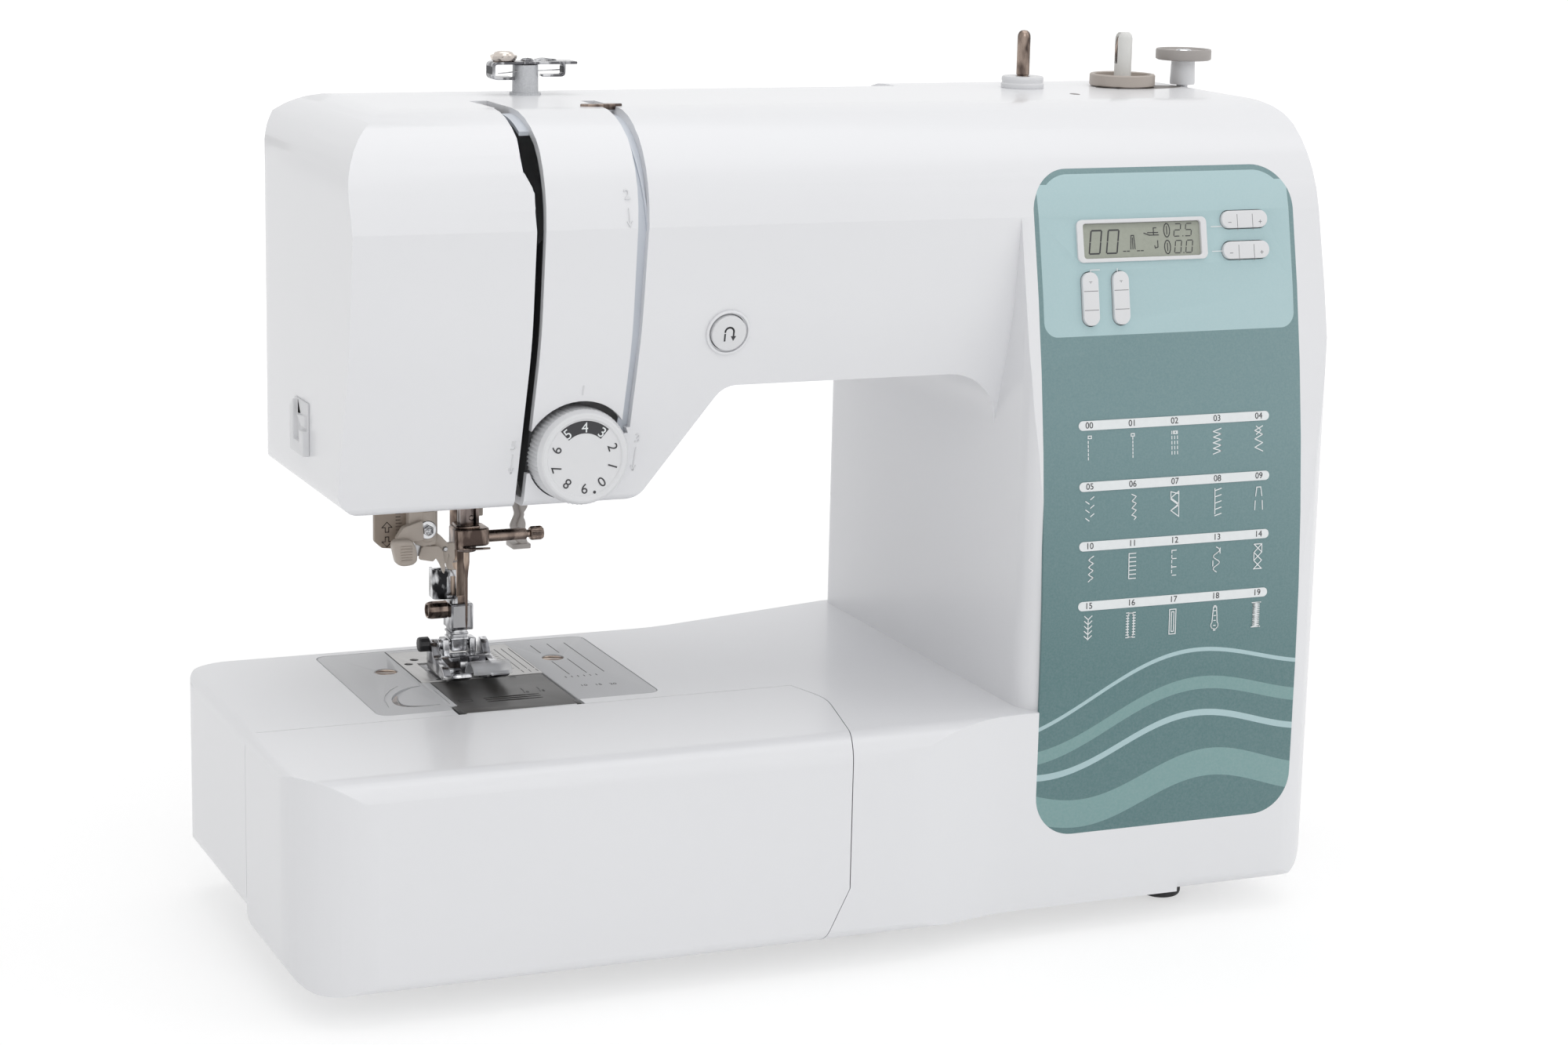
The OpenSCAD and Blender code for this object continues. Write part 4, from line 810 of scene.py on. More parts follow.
def armFace(z):
    (y0, z0), (y1, z1), (y2, z2) = arm["chin"], arm["lean"], arm["crease"]
    if z < z1:
        return y0 + (y1 - y0) * (z - z0) / (z1 - z0)
    if z < z2:
        return y1 + (y2 - y1) * (z - z1) / (z2 - z1)
    return arm["crown"][0] - math.sqrt(max(0, arm["bend"] ** 2 - (z - arm["crown"][1]) ** 2))


def armPath(low, lastTurn, inset):
    # points up the front of the arm and over its crown, at a depth under the skin
    points = [(armFace(z), z) for z in (low, *arm["heights"])]
    points += [polar(*arm["crown"], arm["bend"], turn) for turn in range(165, lastTurn, -5)]
    inside = Vector(arm["inside"])
    return [Vector(point) + (inside - Vector(point)).normalized() * inset for point in points]


def layOnArm(piece, lift):
    for vertex in piece.data.vertices:
        vertex.co.y += armFace(vertex.co.z / mm) * mm - lift * mm
    return piece


def channelSide(x0, x1, low, lastTurn, shallow, deep):
    outline = armPath(low, lastTurn, shallow) + armPath(low, lastTurn, deep)[::-1]
    return cutForm(outline, "X", x0, x1, 0)


# a blue-grey that paints the shade inside the white thread channel and under the crown ledges
channelShadeGrey = mouldedPlastic("channelShadeGrey", (0.60, 0.635, 0.69), 0.4)
# near-black for print marks and dark joints, also set in slots, holes and folds as painted shade
channelDark = mouldedPlastic("channelDark", (0.035, 0.036, 0.04), 0.55)
# painted shade: near-black walls for the dark inside of the lever slot
leftSide = channelSide(-119.3, -118.6, 152, 165, 2.4, 16)
leftBack = channelSide(-125.6, -125.0, 152, 120, 2.8, 16)
mount("leverSlotSides", [leftSide, leftBack], "machine", channelDark, "black_plastic")
# the channel's side and floor take the painted shade grey
rightSide = channelSide(-86.0, -85.3, 176, 116, 2.2, 9)
rightFloor = channelSide(-90.0, -81.0, 176, 75, 2.8, 3.6)
mount("threadChannel", [rightSide, rightFloor], "machine", channelShadeGrey, "white_shell")
slotStep = block((-122.4, -14, 271.3), (-119.6, 2.8, 273.3), 0.3)


def wallPatch(outline, depth, lift):
    # a flat outline in X and Z laid along the curved front of the arm
    return layOnArm(cutForm(outline, "Y", 0, depth, 0), lift)


taper = [(-124.8, 247.0), (-122.3, 247.0), (-122.3, 253.0), (-122.8, 254.2), (-124.0, 257.2), (-124.8, 258.0)]
slotTaper = wallPatch(taper, 2.4, -0.05)
mount("slotEnds", [slotStep, slotTaper], "machine", housingWhite, "white_shell")


def crownLedge(x0, x1, start, end, shallow, deep):
    # a ledge under the crown, between two turns of its curve
    outer = [polar(*arm["crown"], arm["bend"] - shallow, turn) for turn in range(start, end, -4)]
    inner = [(y, z - deep + shallow) for y, z in outer]
    return cutForm(outer + inner[::-1], "X", x0, x1, 0)


# the ledges take the painted shade grey
ledges = [crownLedge(-120.3, -116.4, 115, 84, 1.9, 3.2), crownLedge(-125.2, -122.6, 112, 84, 1.5, 2.8)]
mount("slotLedges", ledges, "machine", channelShadeGrey, "white_shell")
lens = arc(-86.5, -20.6, 7.1, 0, 345, 23, 1.9 / 7.1)
mount("channelLip", cutForm(lens, "Z", 272.9, 274.75, 0.3, 3), "machine", bronzePlate, "bronze_plated")

armSigns = {"height": 0.3, "half": 0.25, "size": 4.4, "stroke": 0.38, "barb": (0.8, 1.4),
            "numbers": (("2", -92.1, 250.4), ("3", -83.6, 171.4), ("5", -124.9, 171.0), ("1", -103.9, 188.6)),
            "arrows": (((-92.1, 246.2), (-92.1, 241.0)), ((-83.8, 168.2), (-83.9, 160.6)),
                       ((-124.9, 168.0), (-124.9, 162.0)))}


def makeArmSigns():
    half, (wide, high) = armSigns["half"], armSigns["barb"]
    pieces = [drawText(number, x, z, armSigns["size"], half) for number, x, z in armSigns["numbers"]]
    lines = []
    for top, tip in armSigns["arrows"]:
        x, z = tip
        lines += [[top, tip], [(x - wide, z + high), tip, (x + wide, z + high)]]
    pieces.append(drawLines(lines, armSigns["stroke"], 2 * half))
    layOnArm(mount("armSigns", pieces, "machine", trimWhite, "white_shell"), armSigns["height"] - half)


makeArmSigns()

reverse = {"x": -57.4, "z": 205.9, "tilt": 11.5}


def leanBack(piece, x, z, turn):
    # sets a piece drawn about the origin, facing forwards, on the leaning face of the arm
    return setDown(piece, (x, armFace(z), z), (math.radians(turn), 0, 0))


def makeReverse():
    carry("reverseButton", "reverse_button", "reverse", trimWhite, "white_shell", 0.35)
    ring = turned((0, 0, 0), [(6.55, -0.1), (6.65, -0.32), (7.0, -0.42), (7.35, -0.3), (7.5, 0.1),
        (7.0, 0.8)], "Y", 64, 60, ring=True)
    leanBack(ring, reverse["x"], reverse["z"], reverse["tilt"])
    mount("reverseRing", ring, "machine", housingWhite, "white_shell")
    bow = [[(-1.45, -2.3), (-1.45, -0.3)], arc(0, 0.55, 1.45, 178, 2, 12) + [(1.45, -1.0)]]
    head = cutForm([(0.55, -0.9), (2.35, -0.9), (1.45, -2.5)], "Y", -0.025, 0.025, 0)
    sign = mount("reverseSign", [drawLines(bow, 0.55), head], "reverse", inkDark, "white_shell")
    sign.data.transform(Matrix.Translation((0, -0.93 * mm, 0)))
    leanBack(sign, reverse["x"], reverse["z"], reverse["tilt"])


makeReverse()

dial = {"x": -103.8, "z": 167.5, "front": -57.0, "radius": 15.5, "ribs": 66, "numbers": 9.6, "size": 4.6,
        "sink": 0.5, "light": (3, 4, 5), "ribStart": 15.3, "ribDepth": 0.55}


def makeDial():
    x, front, z, radius, sink = (dial[key] for key in ("x", "front", "z", "radius", "sink"))
    body = turned((x, front, z), [(12.8, 13.9), (15.0, 13.9), (radius, 13.4), (radius, 3.0), (15.2, 2.3),
        (14.75, 1.2), (14.3, 0.35), (13.7, 0.0), (12.6, 0.05), (12.2, 0.35), (12.1, sink), (0.2, sink)], "Y",
        dial["ribs"] * 2, 30)
    ribRing(body, (x, front, z), "Y", dial["ribStart"], dial["ribDepth"])
    mount("tensionDial", body, "dial", trimWhite, "white_shell", "tension_dial", smooth=20)
    light, dark = [], []
    for digit in range(10):
        turn = 36 * digit - 54
        text = drawText(str(digit), 0, 0, dial["size"], 0.03, math.radians(90 - turn))
        across, level = polar(x, z, dial["numbers"], turn)
        setDown(text, (across, front + sink - 0.08, level))
        (light if digit in dial["light"] else dark).append(text)
    dark.append(turned((x + 3.4, front + sink - 0.03, z - 11.1), [(0.5, 0.1), (0.5, -0.02), (0.4, -0.05)],
        "Y", 16))
    band = arc(x, z, 11.9, 132, 48, 21) + arc(x, z, 7.9, 48, 132, 21)
    mount("dialBand", cutForm(band, "Y", front + sink - 0.04, front + sink + 0.3, 0), "dial", inkDark,
        "white_shell")
    mount("dialLight", light, "dial", inkWhite, "white_shell")
    mount("dialNumbers", dark, "dial", inkDark, "white_shell")


makeDial()
print("arm dressed")


# bed: cover plate, needle plate, bobbin lid, feed teeth

bed = {"z": 78.0, "screws": ((-141.1, 36.6), (-81.1, 37.3)), "screw": 3.9}


def flatLines(lines, width, z, thickness=0.08):
    # lines drawn in X and Y lie down on a level face
    piece = drawLines(lines, width, thickness)
    piece.data.transform(Matrix.Rotation(-math.pi / 2, 4, "X"))
    return setDown(piece, (0, 0, z))


def grooveTool(points, width, low, high):
    # a round-ended channel cutter along a chain of points on a level face
    left, right = [], []
    chain = [Vector(point) for point in points]
    for i, point in enumerate(chain):
        along = (chain[min(i + 1, len(chain) - 1)] - chain[max(i - 1, 0)]).normalized()
        reach = width / 2 * math.sin(math.pi * (0.12 + 0.76 * i / (len(chain) - 1)))
        side = Vector((-along.y, along.x)) * reach
        left.append(point + side)
        right.append(point - side)
    return cutForm(left + right[::-1], "Z", low, high, 0)


def makeCoverPlate():
    plate = placedCopy("plate_cover")
    soften(plate, 0.35 * mm, 2, 40, 40)
    top = bed["z"]
    tools = [turned((x, y, top), [(bed["screw"], 1), (bed["screw"], -0.6), (bed["screw"] - 0.4, -0.9)])
             for x, y in bed["screws"]]
    crescent = [(-136.2, -9.0), (-141.0, -9.4), (-146.0, -8.6), (-149.3, -5.6), (-148.9, 0.5), (-146.6, 6.2),
        (-143.3, 11.0), (-139.4, 14.2), (-135.6, 15.0)]
    tools.append(grooveTool(eased(crescent, 3), 2.3, top - 0.7, top + 1))
    tools.append(grooveTool([(-142.9, 17.0), (-146.4, 13.2), (-149.8, 7.2), (-152.2, 0.7), (-153.3, -7.4)],
        0.7, top - 0.25, top + 1))
    cutAway(plate, *tools)
    mount("coverPlate", plate, "machine", plateGrey, "white_shell", "plate_cover", smooth=35)
    inlay = grooveTool([(x, y) for x, y in crescent[1:6]], 1.9, top - 0.72, top - 0.3)
    mount("plateCrescent", inlay, "machine", darkSteel, "plain_steel")
    heads, rims = [], []
    for x, y in bed["screws"]:
        head = turned((x, y, top), [(3.1, -0.95), (3.5, -0.85), (3.5, -0.3), (3.2, -0.1), (0.3, 0.02)])
        slot = block((-4, -0.55, -0.45), (4, 0.55, 1), 0.05, 1)
        heads.append(cutAway(head, setDown(slot, (x, y, top), (0, 0, math.radians(-20)))))
        rims.append(turned((x, y, top), [(3.55, -0.9), (3.9, -0.9), (3.9, -0.25), (3.55, -0.25)], ring=True))
    mount("plateScrews", heads, "machine", bronzeTan, "bright_plated")
    mount("plateScrewWells", rims, "machine", darkSteel, "bright_plated")
    lines = [[(-83.2, 55.1), (-83.2, 44.3)], [(-76.9, 55.6), (-76.9, 43)], [(-70.7, 55.3), (-70.7, 14.1)],
             [(-83.2, 32.1), (-83.2, 14.0)], [(-76.9, 33.8), (-76.9, 14.4)]]
    lines += [[(-85.6 + 2.2 * i, 11.6), (-85.6 + 2.2 * i, 10.2)] for i in range(6)]
    ticks = flatLines(lines, 0.32, top)
    numbers = [textForm(words, (x, y, top + 0.03), 2.6, 0.02)
               for words, x, y in (("10", -83.4, -1.2), ("15", -78.4, -1.8), ("20", -73.4, -2.4))]
    mount("guideLines", [ticks, *numbers], "machine", inkDark, "white_shell")


def makeNeedlePlate():
    carry("needlePlate", "needle_plate", "machine", steelPlate, "plain_steel", 0.12, 2, 50, 40)
    top = bed["z"]
    lines = [[(x, 54.0), (x, 26.1)] for x in (-91.8, -94.4, -97.0)]
    lines += [[(-99.6, 56.5 - 2.4 * i), (-98.6, 56.5 - 2.4 * i)] for i in range(13)]
    lines += [[(x, 24.4), (x, 21.6)] for x in (-97.0, -94.4, -91.8)]
    mount("plateLines", flatLines(lines, 0.28, top), "machine", inkDark, "plain_steel")
    edge = flatLines([[(-134.15, 61.6), (-134.15, 19.4)]], 0.5, top, 0.06)
    mount("plateEdge", edge, "machine", channelDark, "black_plastic")
    # painted shade: dark discs at the bottom of the plate's holes
    wells = [turned((x, y, top), [(1.5, -1.0), (1.5, -0.9), (0.2, -0.9)], steps=24)
             for x, y in ((-131, 44), (-127.5, 49), (-104, 45))]
    mount("plateHoles", wells, "machine", channelDark, "black_plastic")


def smokedFinish(name, colour, alpha, roughness):
    finish = Finish(name, colour, roughness, Alpha=alpha, IOR=1.45)
    cloud = finish.noise(120, 2)
    finish.look(finish.mix(cloud, shade(colour, 0.9), shade(colour, 1.1)), cloud * 0.08 + roughness)
    return finish.material


smokedClear = smokedFinish("smokedClear", (0.075, 0.072, 0.07), 0.84, 0.3)
clearPlastic = smokedFinish("clearPlastic", (0.75, 0.76, 0.78), 0.34, 0.05)
bobbinClear = smokedFinish("bobbinClear", (0.72, 0.75, 0.77), 0.6, 0.1)

lid = {"left": -131.0, "corner": -133.4, "right": -91.9, "front": -23.0, "rear": 17.9, "low": 76.4}


def makeLid():
    top = bed["z"]
    left, corner, right, front, rear, low = lid.values()
    cover = cutForm([(corner, front), (right, front), (right, rear), (left, rear), (left, -12.6),
        (corner, -12.9)], "Z", low, top, 0.25)
    hinge = turned((0, rear, low + 0.8), [(0.6, left), (0.8, left + 0.2), (0.8, right - 0.2), (0.6, right)],
        "X", 24)
    tools = [grooveTool([(-120.4, y), (-110, y - 0.1), (-101.2, y - 0.2)], 1.5, top - 0.5, top + 1)
        for y in (-6.3, -8.5, -10.8)]
    cutAway(cover, *tools)
    mount("bobbinLid", [cover, hinge], "lid", smokedClear, "smoked_clear", "bobbin_cover", smooth=40)
    # painted highlight: a white strip along the lid's front edge, where its bevel catches the light
    edge = block((-131.5, -23.05, 76.6), (-93.5, -22.3, 78.06), 0.2)
    tabs = [block((-133.5, -22.9, 77.0), (-131.6, -17.6, 78.1), 0.25),
        block((-93.4, -22.9, 77.0), (-91.8, -17.6, 78.1), 0.25)]
    mount("lidEdgeHighlight", edge, "lid", trimWhite, "smoked_clear")
    mount("lidTabs", tabs, "lid", blackPlastic, "smoked_clear")
    marks = flatLines([[(-104.8, -1.2), (-104.8, 1.6)], [(-99.2, -1.2), (-99.2, 1.6)],
        [(-103.6, 16.4), (-102.6, 17.6), (-101.6, 16.4)], [(-129.2, -6.4), (-124.8, -6.4), (-124.8, -8.6),
        (-129.2, -8.6), (-129.2, -6.4)]], 0.25, top + 0.02, 0.05)
    numbers = [textForm(words, (x, -3.2, top + 0.03), 2.4, 0.02)
        for words, x in (("10", -104.6), ("15", -99.0))]
    mount("lidMarks", [marks, *numbers], "lid", channelDark, "smoked_clear")
    # the cover plate's own ledge beside the lid, with a stepped line on it
    ledge = block((-134.25, -12.3, 76.5), (-131.3, 18.6, 78.0), 0.2)
    cutAway(ledge, grooveTool([(-132.9, 9.4), (-132.9, 0), (-133.0, -9.3)], 0.5, top - 0.25, top + 1))
    mount("coverPlateLedge", ledge, "machine", plateGrey, "white_shell", smooth=35)


makeCoverPlate()
makeNeedlePlate()
makeLid()
carry("feedTeeth", "feed_dogs", "feed", steelBrushed, "plain_steel", 0.08, 1, 40, 40)
dress(blackPlastic, "bobbin_case", "feed_lever")
dress(steelBrushed, "hook_race")
dress(bobbinClear, "bobbin")
print("bed dressed")


# needle bar, clamp and needle

satinSteel = brushedMetal("satinSteel", (0.62, 0.62, 0.63), 0.5)
# the near-black second colour is the dark of this chrome's painted reflections
darkChrome = mirrorChrome("darkChrome", (0.55, 0.555, 0.57), (0.02, 0.02, 0.022), 0.16, 230)
needle = {"x": -117.0, "y": 23.0, "clampZ": 122.0, "tip": 94.0}


def makeNeedle():
    x, y, low, tip = needle.values()
    carry("needleBar", "needle_bar", "needle_slide", darkSteel, "bronze_plated", 0.3, 2, 50)
    pinch = turned((x + 0.6, y - 3.1, 133.4), [(0.9, 0.5), (0.9, -0.1), (0.6, -0.35), (0.2, -0.35)], "Y", 24)
    flats = block((x - 3.1, y - 3.35, 130.8), (x - 1.4, y - 1.2, 139.5), 0.25)
    others = block((x + 2.2, y - 3.2, 130.4), (x + 3.4, y - 1.6, 139.5), 0.25)
    mount("barFlats", [flats, others, pinch], "needle_slide", darkSteel, "bronze_plated")
    clamp = roundedForm([(-122.6, 18.2), (-120.6, 16.9), (-112.2, 16.9), (-110.3, 18.4), (-110.3, 27.4),
        (-121.4, 27.8), (-122.4, 26.0)], 1.6, "Z", low + 2.0, low + 8.0, 0.7, 4, 40)
    hood = roundedForm([(-121.9, 19.2), (-120.2, 18.0), (-113.6, 18.0), (-113.0, 27.0), (-121.0, 27.2)], 1.4,
        "Z", low + 7.8, low + 9.0, 0.5, 3)
    skirt = roundedForm([(-122.5, 18.0), (-121.0, 17.0), (-119.6, 17.4), (-119.6, 27.0), (-122.2, 27.0)], 1.0,
        "Z", low + 1.0, low + 4.0, 0.4)
    hook = roundedForm([(-120.6, 18.2), (-117.6, 17.0), (-111.8, 16.4), (-110.2, 16.9), (-111.6, 17.7),
        (-116.8, 18.6), (-116.9, 21.5), (-120.6, 21.5)], 0.7, "Z", low + 0.9, low + 1.5, 0.2)
    mount("needleClamp", [clamp, hood, skirt, hook], "needle_slide", bronzePlate, "bronze_plated",
        "needle_clamp")
    screwAt = (x, y - 1.5, low + 4.4)
    collar = turned(screwAt, [(1.9, 6.4), (2.05, 6.6), (2.05, 19.9), (1.9, 20.3), (1.55, 20.5), (1.3, 20.6),
        (1.3, 21.6), (0.3, 21.6)], "X", 40)
    head = turned(screwAt, [(1.3, 21.4), (2.0, 21.8), (2.35, 22.4), (2.35, 25.6), (2.0, 26.3), (0.3, 26.3)],
        "X", 48)
    ribRing(head, screwAt, "X", 2.2, 0.22)
    slot = setDown(block((0, -0.5, -4), (3, 0.5, 4), 0.03, 1), (x + 23.9, screwAt[1], screwAt[2]),
        (math.radians(12), 0, 0))
    cutAway(head, slot)
    mount("clampScrew", [collar, finishMesh(head, 30)], "clamp_screw", bronzePlate, "bronze_plated",
        "clamp_screw")
    shank = turned((x, y, 0), [(0.12, tip), (0.28, tip + 1.6), (0.42, tip + 3.2), (0.42, 112.0),
        (0.62, 114.5), (1.0, 117.5), (1.0, 133.0), (0.2, 133.0)], "Z", 28, 50)
    cutAway(shank, block((x - 0.12, y - 0.8, 97.4), (x + 0.12, y + 0.8, 98.9), 0.03, 1))
    cutAway(shank, block((x - 0.14, y - 0.55, 99.4), (x + 0.14, y - 0.3, 112), 0.02, 1))
    mount("needleShank", shank, "needle_slide", bronzeTan, "bright_plated", "needle", smooth=50)


makeNeedle()
print("needle done")


# presser bar, ankle and foot

presser = {"x": -116.5, "y": 34.0, "screwZ": 99.0, "pinY": 33.5, "pinZ": 87.0, "sole": 78.3}


def makePresser():
    x, y = presser["x"], presser["y"]
    bar = placedCopy("presser_bar")
    soften(bar, 0.3 * mm, 2, 50, 50)
    stem = turned((x, y, 0), [(2.7, 100.9), (2.7, 105.0), (0.3, 105.0)])
    cheek = block((x - 3.4, y - 3.2, 101.4), (x - 1.2, y - 0.6, 121.0), 0.3)
    mount("presserBar", [bar, stem, cheek], "presser", bronzeTan, "bronze_plated", "presser_bar")
    # the ankle: a block with a framed front, its neck, and the lifting plate with its slot, which a dark
    # block fills as painted shade
    body = block((-120.4, 29.0, 92.4), (-112.6, 38.4, 101.6), 0.45, 3)
    cutAway(body, block((-119.7, 28.4, 93.2), (-113.3, 29.5, 100.9), 0.1, 1))
    neck = block((-119.8, 30.6, 84.6), (-114.2, 37.4, 93.2), 0.6, 3)
    bands = [block((-120.1, 30.2, z), (-113.9, 37.8, z + 0.8), 0.25) for z in (88.6, 90.6)]
    side = roundedForm([(-126.0, 113.8), (-118.2, 114.4), (-117.6, 108.0), (-119.6, 104.8), (-121.4, 103.0),
        (-123.4, 104.4), (-125.6, 108.0)], 0.8, "Y", 31.4, 33.6, 0.4, 3)
    cutAway(side, block((-124.6, 30.5, 106.6), (-122.6, 34.5, 112.6), 0.2, 1))
    fold = bentStrip(eased([(-125.6, 36.4), (-125.9, 31.0), (-122.8, 30.2), (-118.4, 30.2)], 1.0), "Z", 103.4,
        113.6, 0.9, 0.2)
    cutAway(fold, block((-121.8, 29.4, 104.6), (-118.8, 31.2, 111.4), 0.4))
    mount("footHolder", [body, neck, *bands], "presser", brightChrome, "bright_plated", "foot_holder",
        smooth=35)
    shin = cutForm([(-120.2, 103.6), (-117.8, 104.0), (-117.4, 92.4), (-119.8, 91.6), (-120.2, 96.0)], "Y",
        30.2, 32.0, 0.2)
    mount("ankleLever", [side, fold, shin], "presser", darkChrome, "bright_plated", smooth=35)
    mount("anklePanel", block((-119.6, 29.35, 93.3), (-113.4, 29.6, 100.8), 0.05, 1), "presser", satinSteel,
        "bright_plated")
    # painted shade: a dark block in the lifting plate's slot
    mount("ankleSlot", block((-124.8, 31.0, 106.4), (-122.4, 33.2, 112.8), 0.2), "presser", channelDark,
        "black_plastic")
    at = (0, y, presser["screwZ"])
    screw = turned(at, [(2.0, -127.4), (2.5, -127.6), (2.9, -127.0), (3.1, -126.0), (3.1, -120.9),
        (2.7, -120.5), (0.3, -120.5)], "X", 12, 10)
    cutAway(screw, turned(at, [(2.2, -128.5), (1.9, -127.0), (0.3, -126.9)], "X", 32))
    shankRod = turned(at, [(1.25, -121), (1.25, -115.8), (0.3, -115.8)], "X", 24)
    mount("footScrew", [screw, shankRod], "foot_screw", bronzePlate, "bronze_plated", "foot_screw", smooth=25)


def makeFoot():
    pinY, pinZ, sole = presser["pinY"], presser["pinZ"], presser["sole"]
    # sole with two long toes that turn up in front
    heel = block((-127, 19, sole), (-107, 35.4, sole + 1.9), 0.4, 3)
    toePath = eased([(19.6, sole + 1.0), (14.0, sole + 1.5), (9.0, sole + 3.0), (6.4, sole + 4.4)], 3, 6)
    toes = [bentStrip(toePath, "X", left, right, 1.7, 0.5) for left,
        right in ((-127, -120.3), (-113.7, -107))]
    cutAway(heel, block((-120.3, 16, sole - 1), (-113.7, 24.5, sole + 4), 1.2, 4))
    # raised cheeks with faceted fronts beside the needle hole
    cheekForm = [(35.2, sole + 1.0), (35.4, sole + 7.0), (33.5, sole + 10.6), (30.6, sole + 9.4),
        (27.6, sole + 5.6), (18.2, sole + 4.6), (15.0, sole + 1.4)]
    cheeks = [roundedForm(cheekForm, 1.0, "X", left, right, 0.4, 3)
        for left, right in ((-127.2, -124.6), (-109.4, -106.8))]
    hood = bentStrip(eased([(35.6, sole + 3.2), (31.4, sole + 5.6), (26.6, sole + 5.6), (23.4, sole + 3.4),
        (21.6, sole + 2.0)], 1.4), "X", -124.8, -109.2, 1.0, 0.3)
    cutAway(hood, block((-119.4, 17, sole), (-114.6, 25.2, sole + 9), 0.6, 2))
    posts = [block((a, 30.4, sole + 1.6), (b, 35.6, pinZ + 2.2), 0.5, 3)
        for a, b in ((-122.9, -120.6), (-113.4, -111.1))]
    pads = [block((a, 24.4, sole + 1.4), (b, 29.4, sole + 6.2), 0.7, 3)
        for a, b in ((-122.4, -118.4), (-115.6, -111.6))]
    pin = turned((0, pinY, pinZ), [(0.7, -130.0), (1.0, -129.8), (1.0, -111.6), (0.3, -111.4)], "X", 24)
    collars = [turned((0, pinY, pinZ), [(1.2, a), (2.0, a + 0.1), (2.0, b - 0.1), (1.2, b)], "X", 28)
               for a, b in ((-126.2, -125.4), (-121.9, -120.9))]
    coil = wireForm([(-125.2 + 3.4 * i / 96, *polar(pinY, pinZ, 1.7, 22.5 * i)) for i in range(97)], 0.27)
    arms = wireForm([(-124.6, pinY - 1.6, pinZ), (-124.4, pinY - 4, pinZ - 1.4),
        (-123.8, pinY - 7, pinZ - 3.4)], 0.3)
    mount("presserFoot", [heel, *toes, *cheeks, hood, *posts, *pads, pin, *collars, coil, arms], "foot",
        brightChrome, "bright_plated", "presser_foot", smooth=35)
    mount("footButton", turned((0, pinY, pinZ + 0.4), [(1.6, -130.9), (2.3, -130.7), (2.6, -130.1),
        (2.6, -127.4), (2.2, -127.0), (0.3, -127.0)], "X", 12, 12), "foot", blackPlastic, "black_plastic")
    # the clear guide curls over the toes
    curl = bentStrip(eased([(15.4, sole + 3.0), (13.0, sole + 6.6), (9.4, sole + 8.0), (6.2, sole + 6.4),
        (5.4, sole + 4.2)], 2.4, 6), "X", -120.0, -106.4, 0.9, 0.3)
    mount("clearGuide", curl, "foot", clearPlastic, "clear_plastic")


makePresser()
makeFoot()
print("presser done")


# levers under the head: threader, buttonhole lever, foot lifter

def makeThreader():
    plate = roundedForm([(-150.9, 152), (-150.9, 128.2), (-148.4, 125.9), (-144.0, 125.4), (-141.0, 128.0),
        (-139.2, 133.0), (-139.2, 152)], 0.6, "Y", 16.2, 18.6, 0.35, 3)
    ticks = [[(-143.6, 129.6 + 1.1 * i), (-142.2 + 0.4 * (i % 4 == 0), 129.6 + 1.1 * i)] for i in range(9)]
    arrow = ((-147.3, 0), (-147.3, 1.6), (-148.4, 1.6), (-146.7, 3.4), (-145.0, 1.6), (-146.1, 1.6),
        (-146.1, 0), (-147.3, 0))
    ticks += [[(x, base + sign * z) for x, z in arrow] for base, sign in ((131.2, 1), (129.6, -1))]
    marks = setDown(drawLines(ticks, 0.28, 0.1), (0, 16.2, 0))
    mount("threaderMarks", marks, "threader", darkSteel, "beige_plastic")
    mount("threaderPlate", plate, "threader", darkBeigePlastic, "beige_plastic")
    housingBlock = roundedForm([(-140.2, 152), (-140.2, 131.0), (-138.0, 127.2), (-135.2, 126.2),
        (-130.9, 126.8), (-130.9, 152)], 0.8, "Y", 12.6, 19.4, 0.5, 3)
    lever = roundedForm([(-145.2, 129.6), (-142.6, 133.6), (-138.4, 134.9), (-136.0, 135.6), (-135.6, 128.8),
        (-140.0, 128.6)], 0.9, "Y", 10.6, 13.6, 0.6, 3)
    grip = cutForm(eased([(-147.2, 128.6), (-146.0, 130.0), (-140.4, 129.8), (-138.8, 127.0), (-138.4, 122.6),
        (-140.0, 121.2), (-143.4, 120.9), (-145.6, 121.8)], 1.2, 5, closed=True), "Y", 8.0, 12.4, 1.1, 4)
    ribs = [block((-144.4, 7.6, 122.6 + 0.95 * i), (-140.4, 8.6, 123.1 + 0.95 * i), 0.15) for i in range(6)]
    joint = turned((-133.6, 16, 0), [(3.4, 127.6), (4.0, 128.2), (4.0, 138), (2.5, 138), (2.5, 150.5),
        (0.3, 150.5)], "Z", 36)
    mount("threaderLever", [housingBlock, lever, grip, *ribs, joint], "threader", beigePlastic,
        "beige_plastic", "threader_lever")
    tip = (-134.0, 132.0)
    at = (tip[0], 12.5, tip[1])
    washer = turned(at, [(2.9, 0.3), (3.1, 0.1), (3.1, -0.5), (2.9, -0.7), (0.3, -0.7)], "Y", 40)
    nut = turned(at, [(1.9, -0.6), (1.9, -1.6), (1.6, -1.9), (0.3, -1.9)], "Y", 6, 20)
    tipScrew = turned(at, [(1.3, -1.8), (1.3, -2.9), (1.0, -3.2), (0.3, -3.2)], "Y", 28)
    cutAway(tipScrew, *crossCuts("Y", *tip, 9.0, 9.8, 1.4, 0.2))
    mount("threaderScrew", [washer, nut, tipScrew], "threader", brightChrome, "bright_plated")


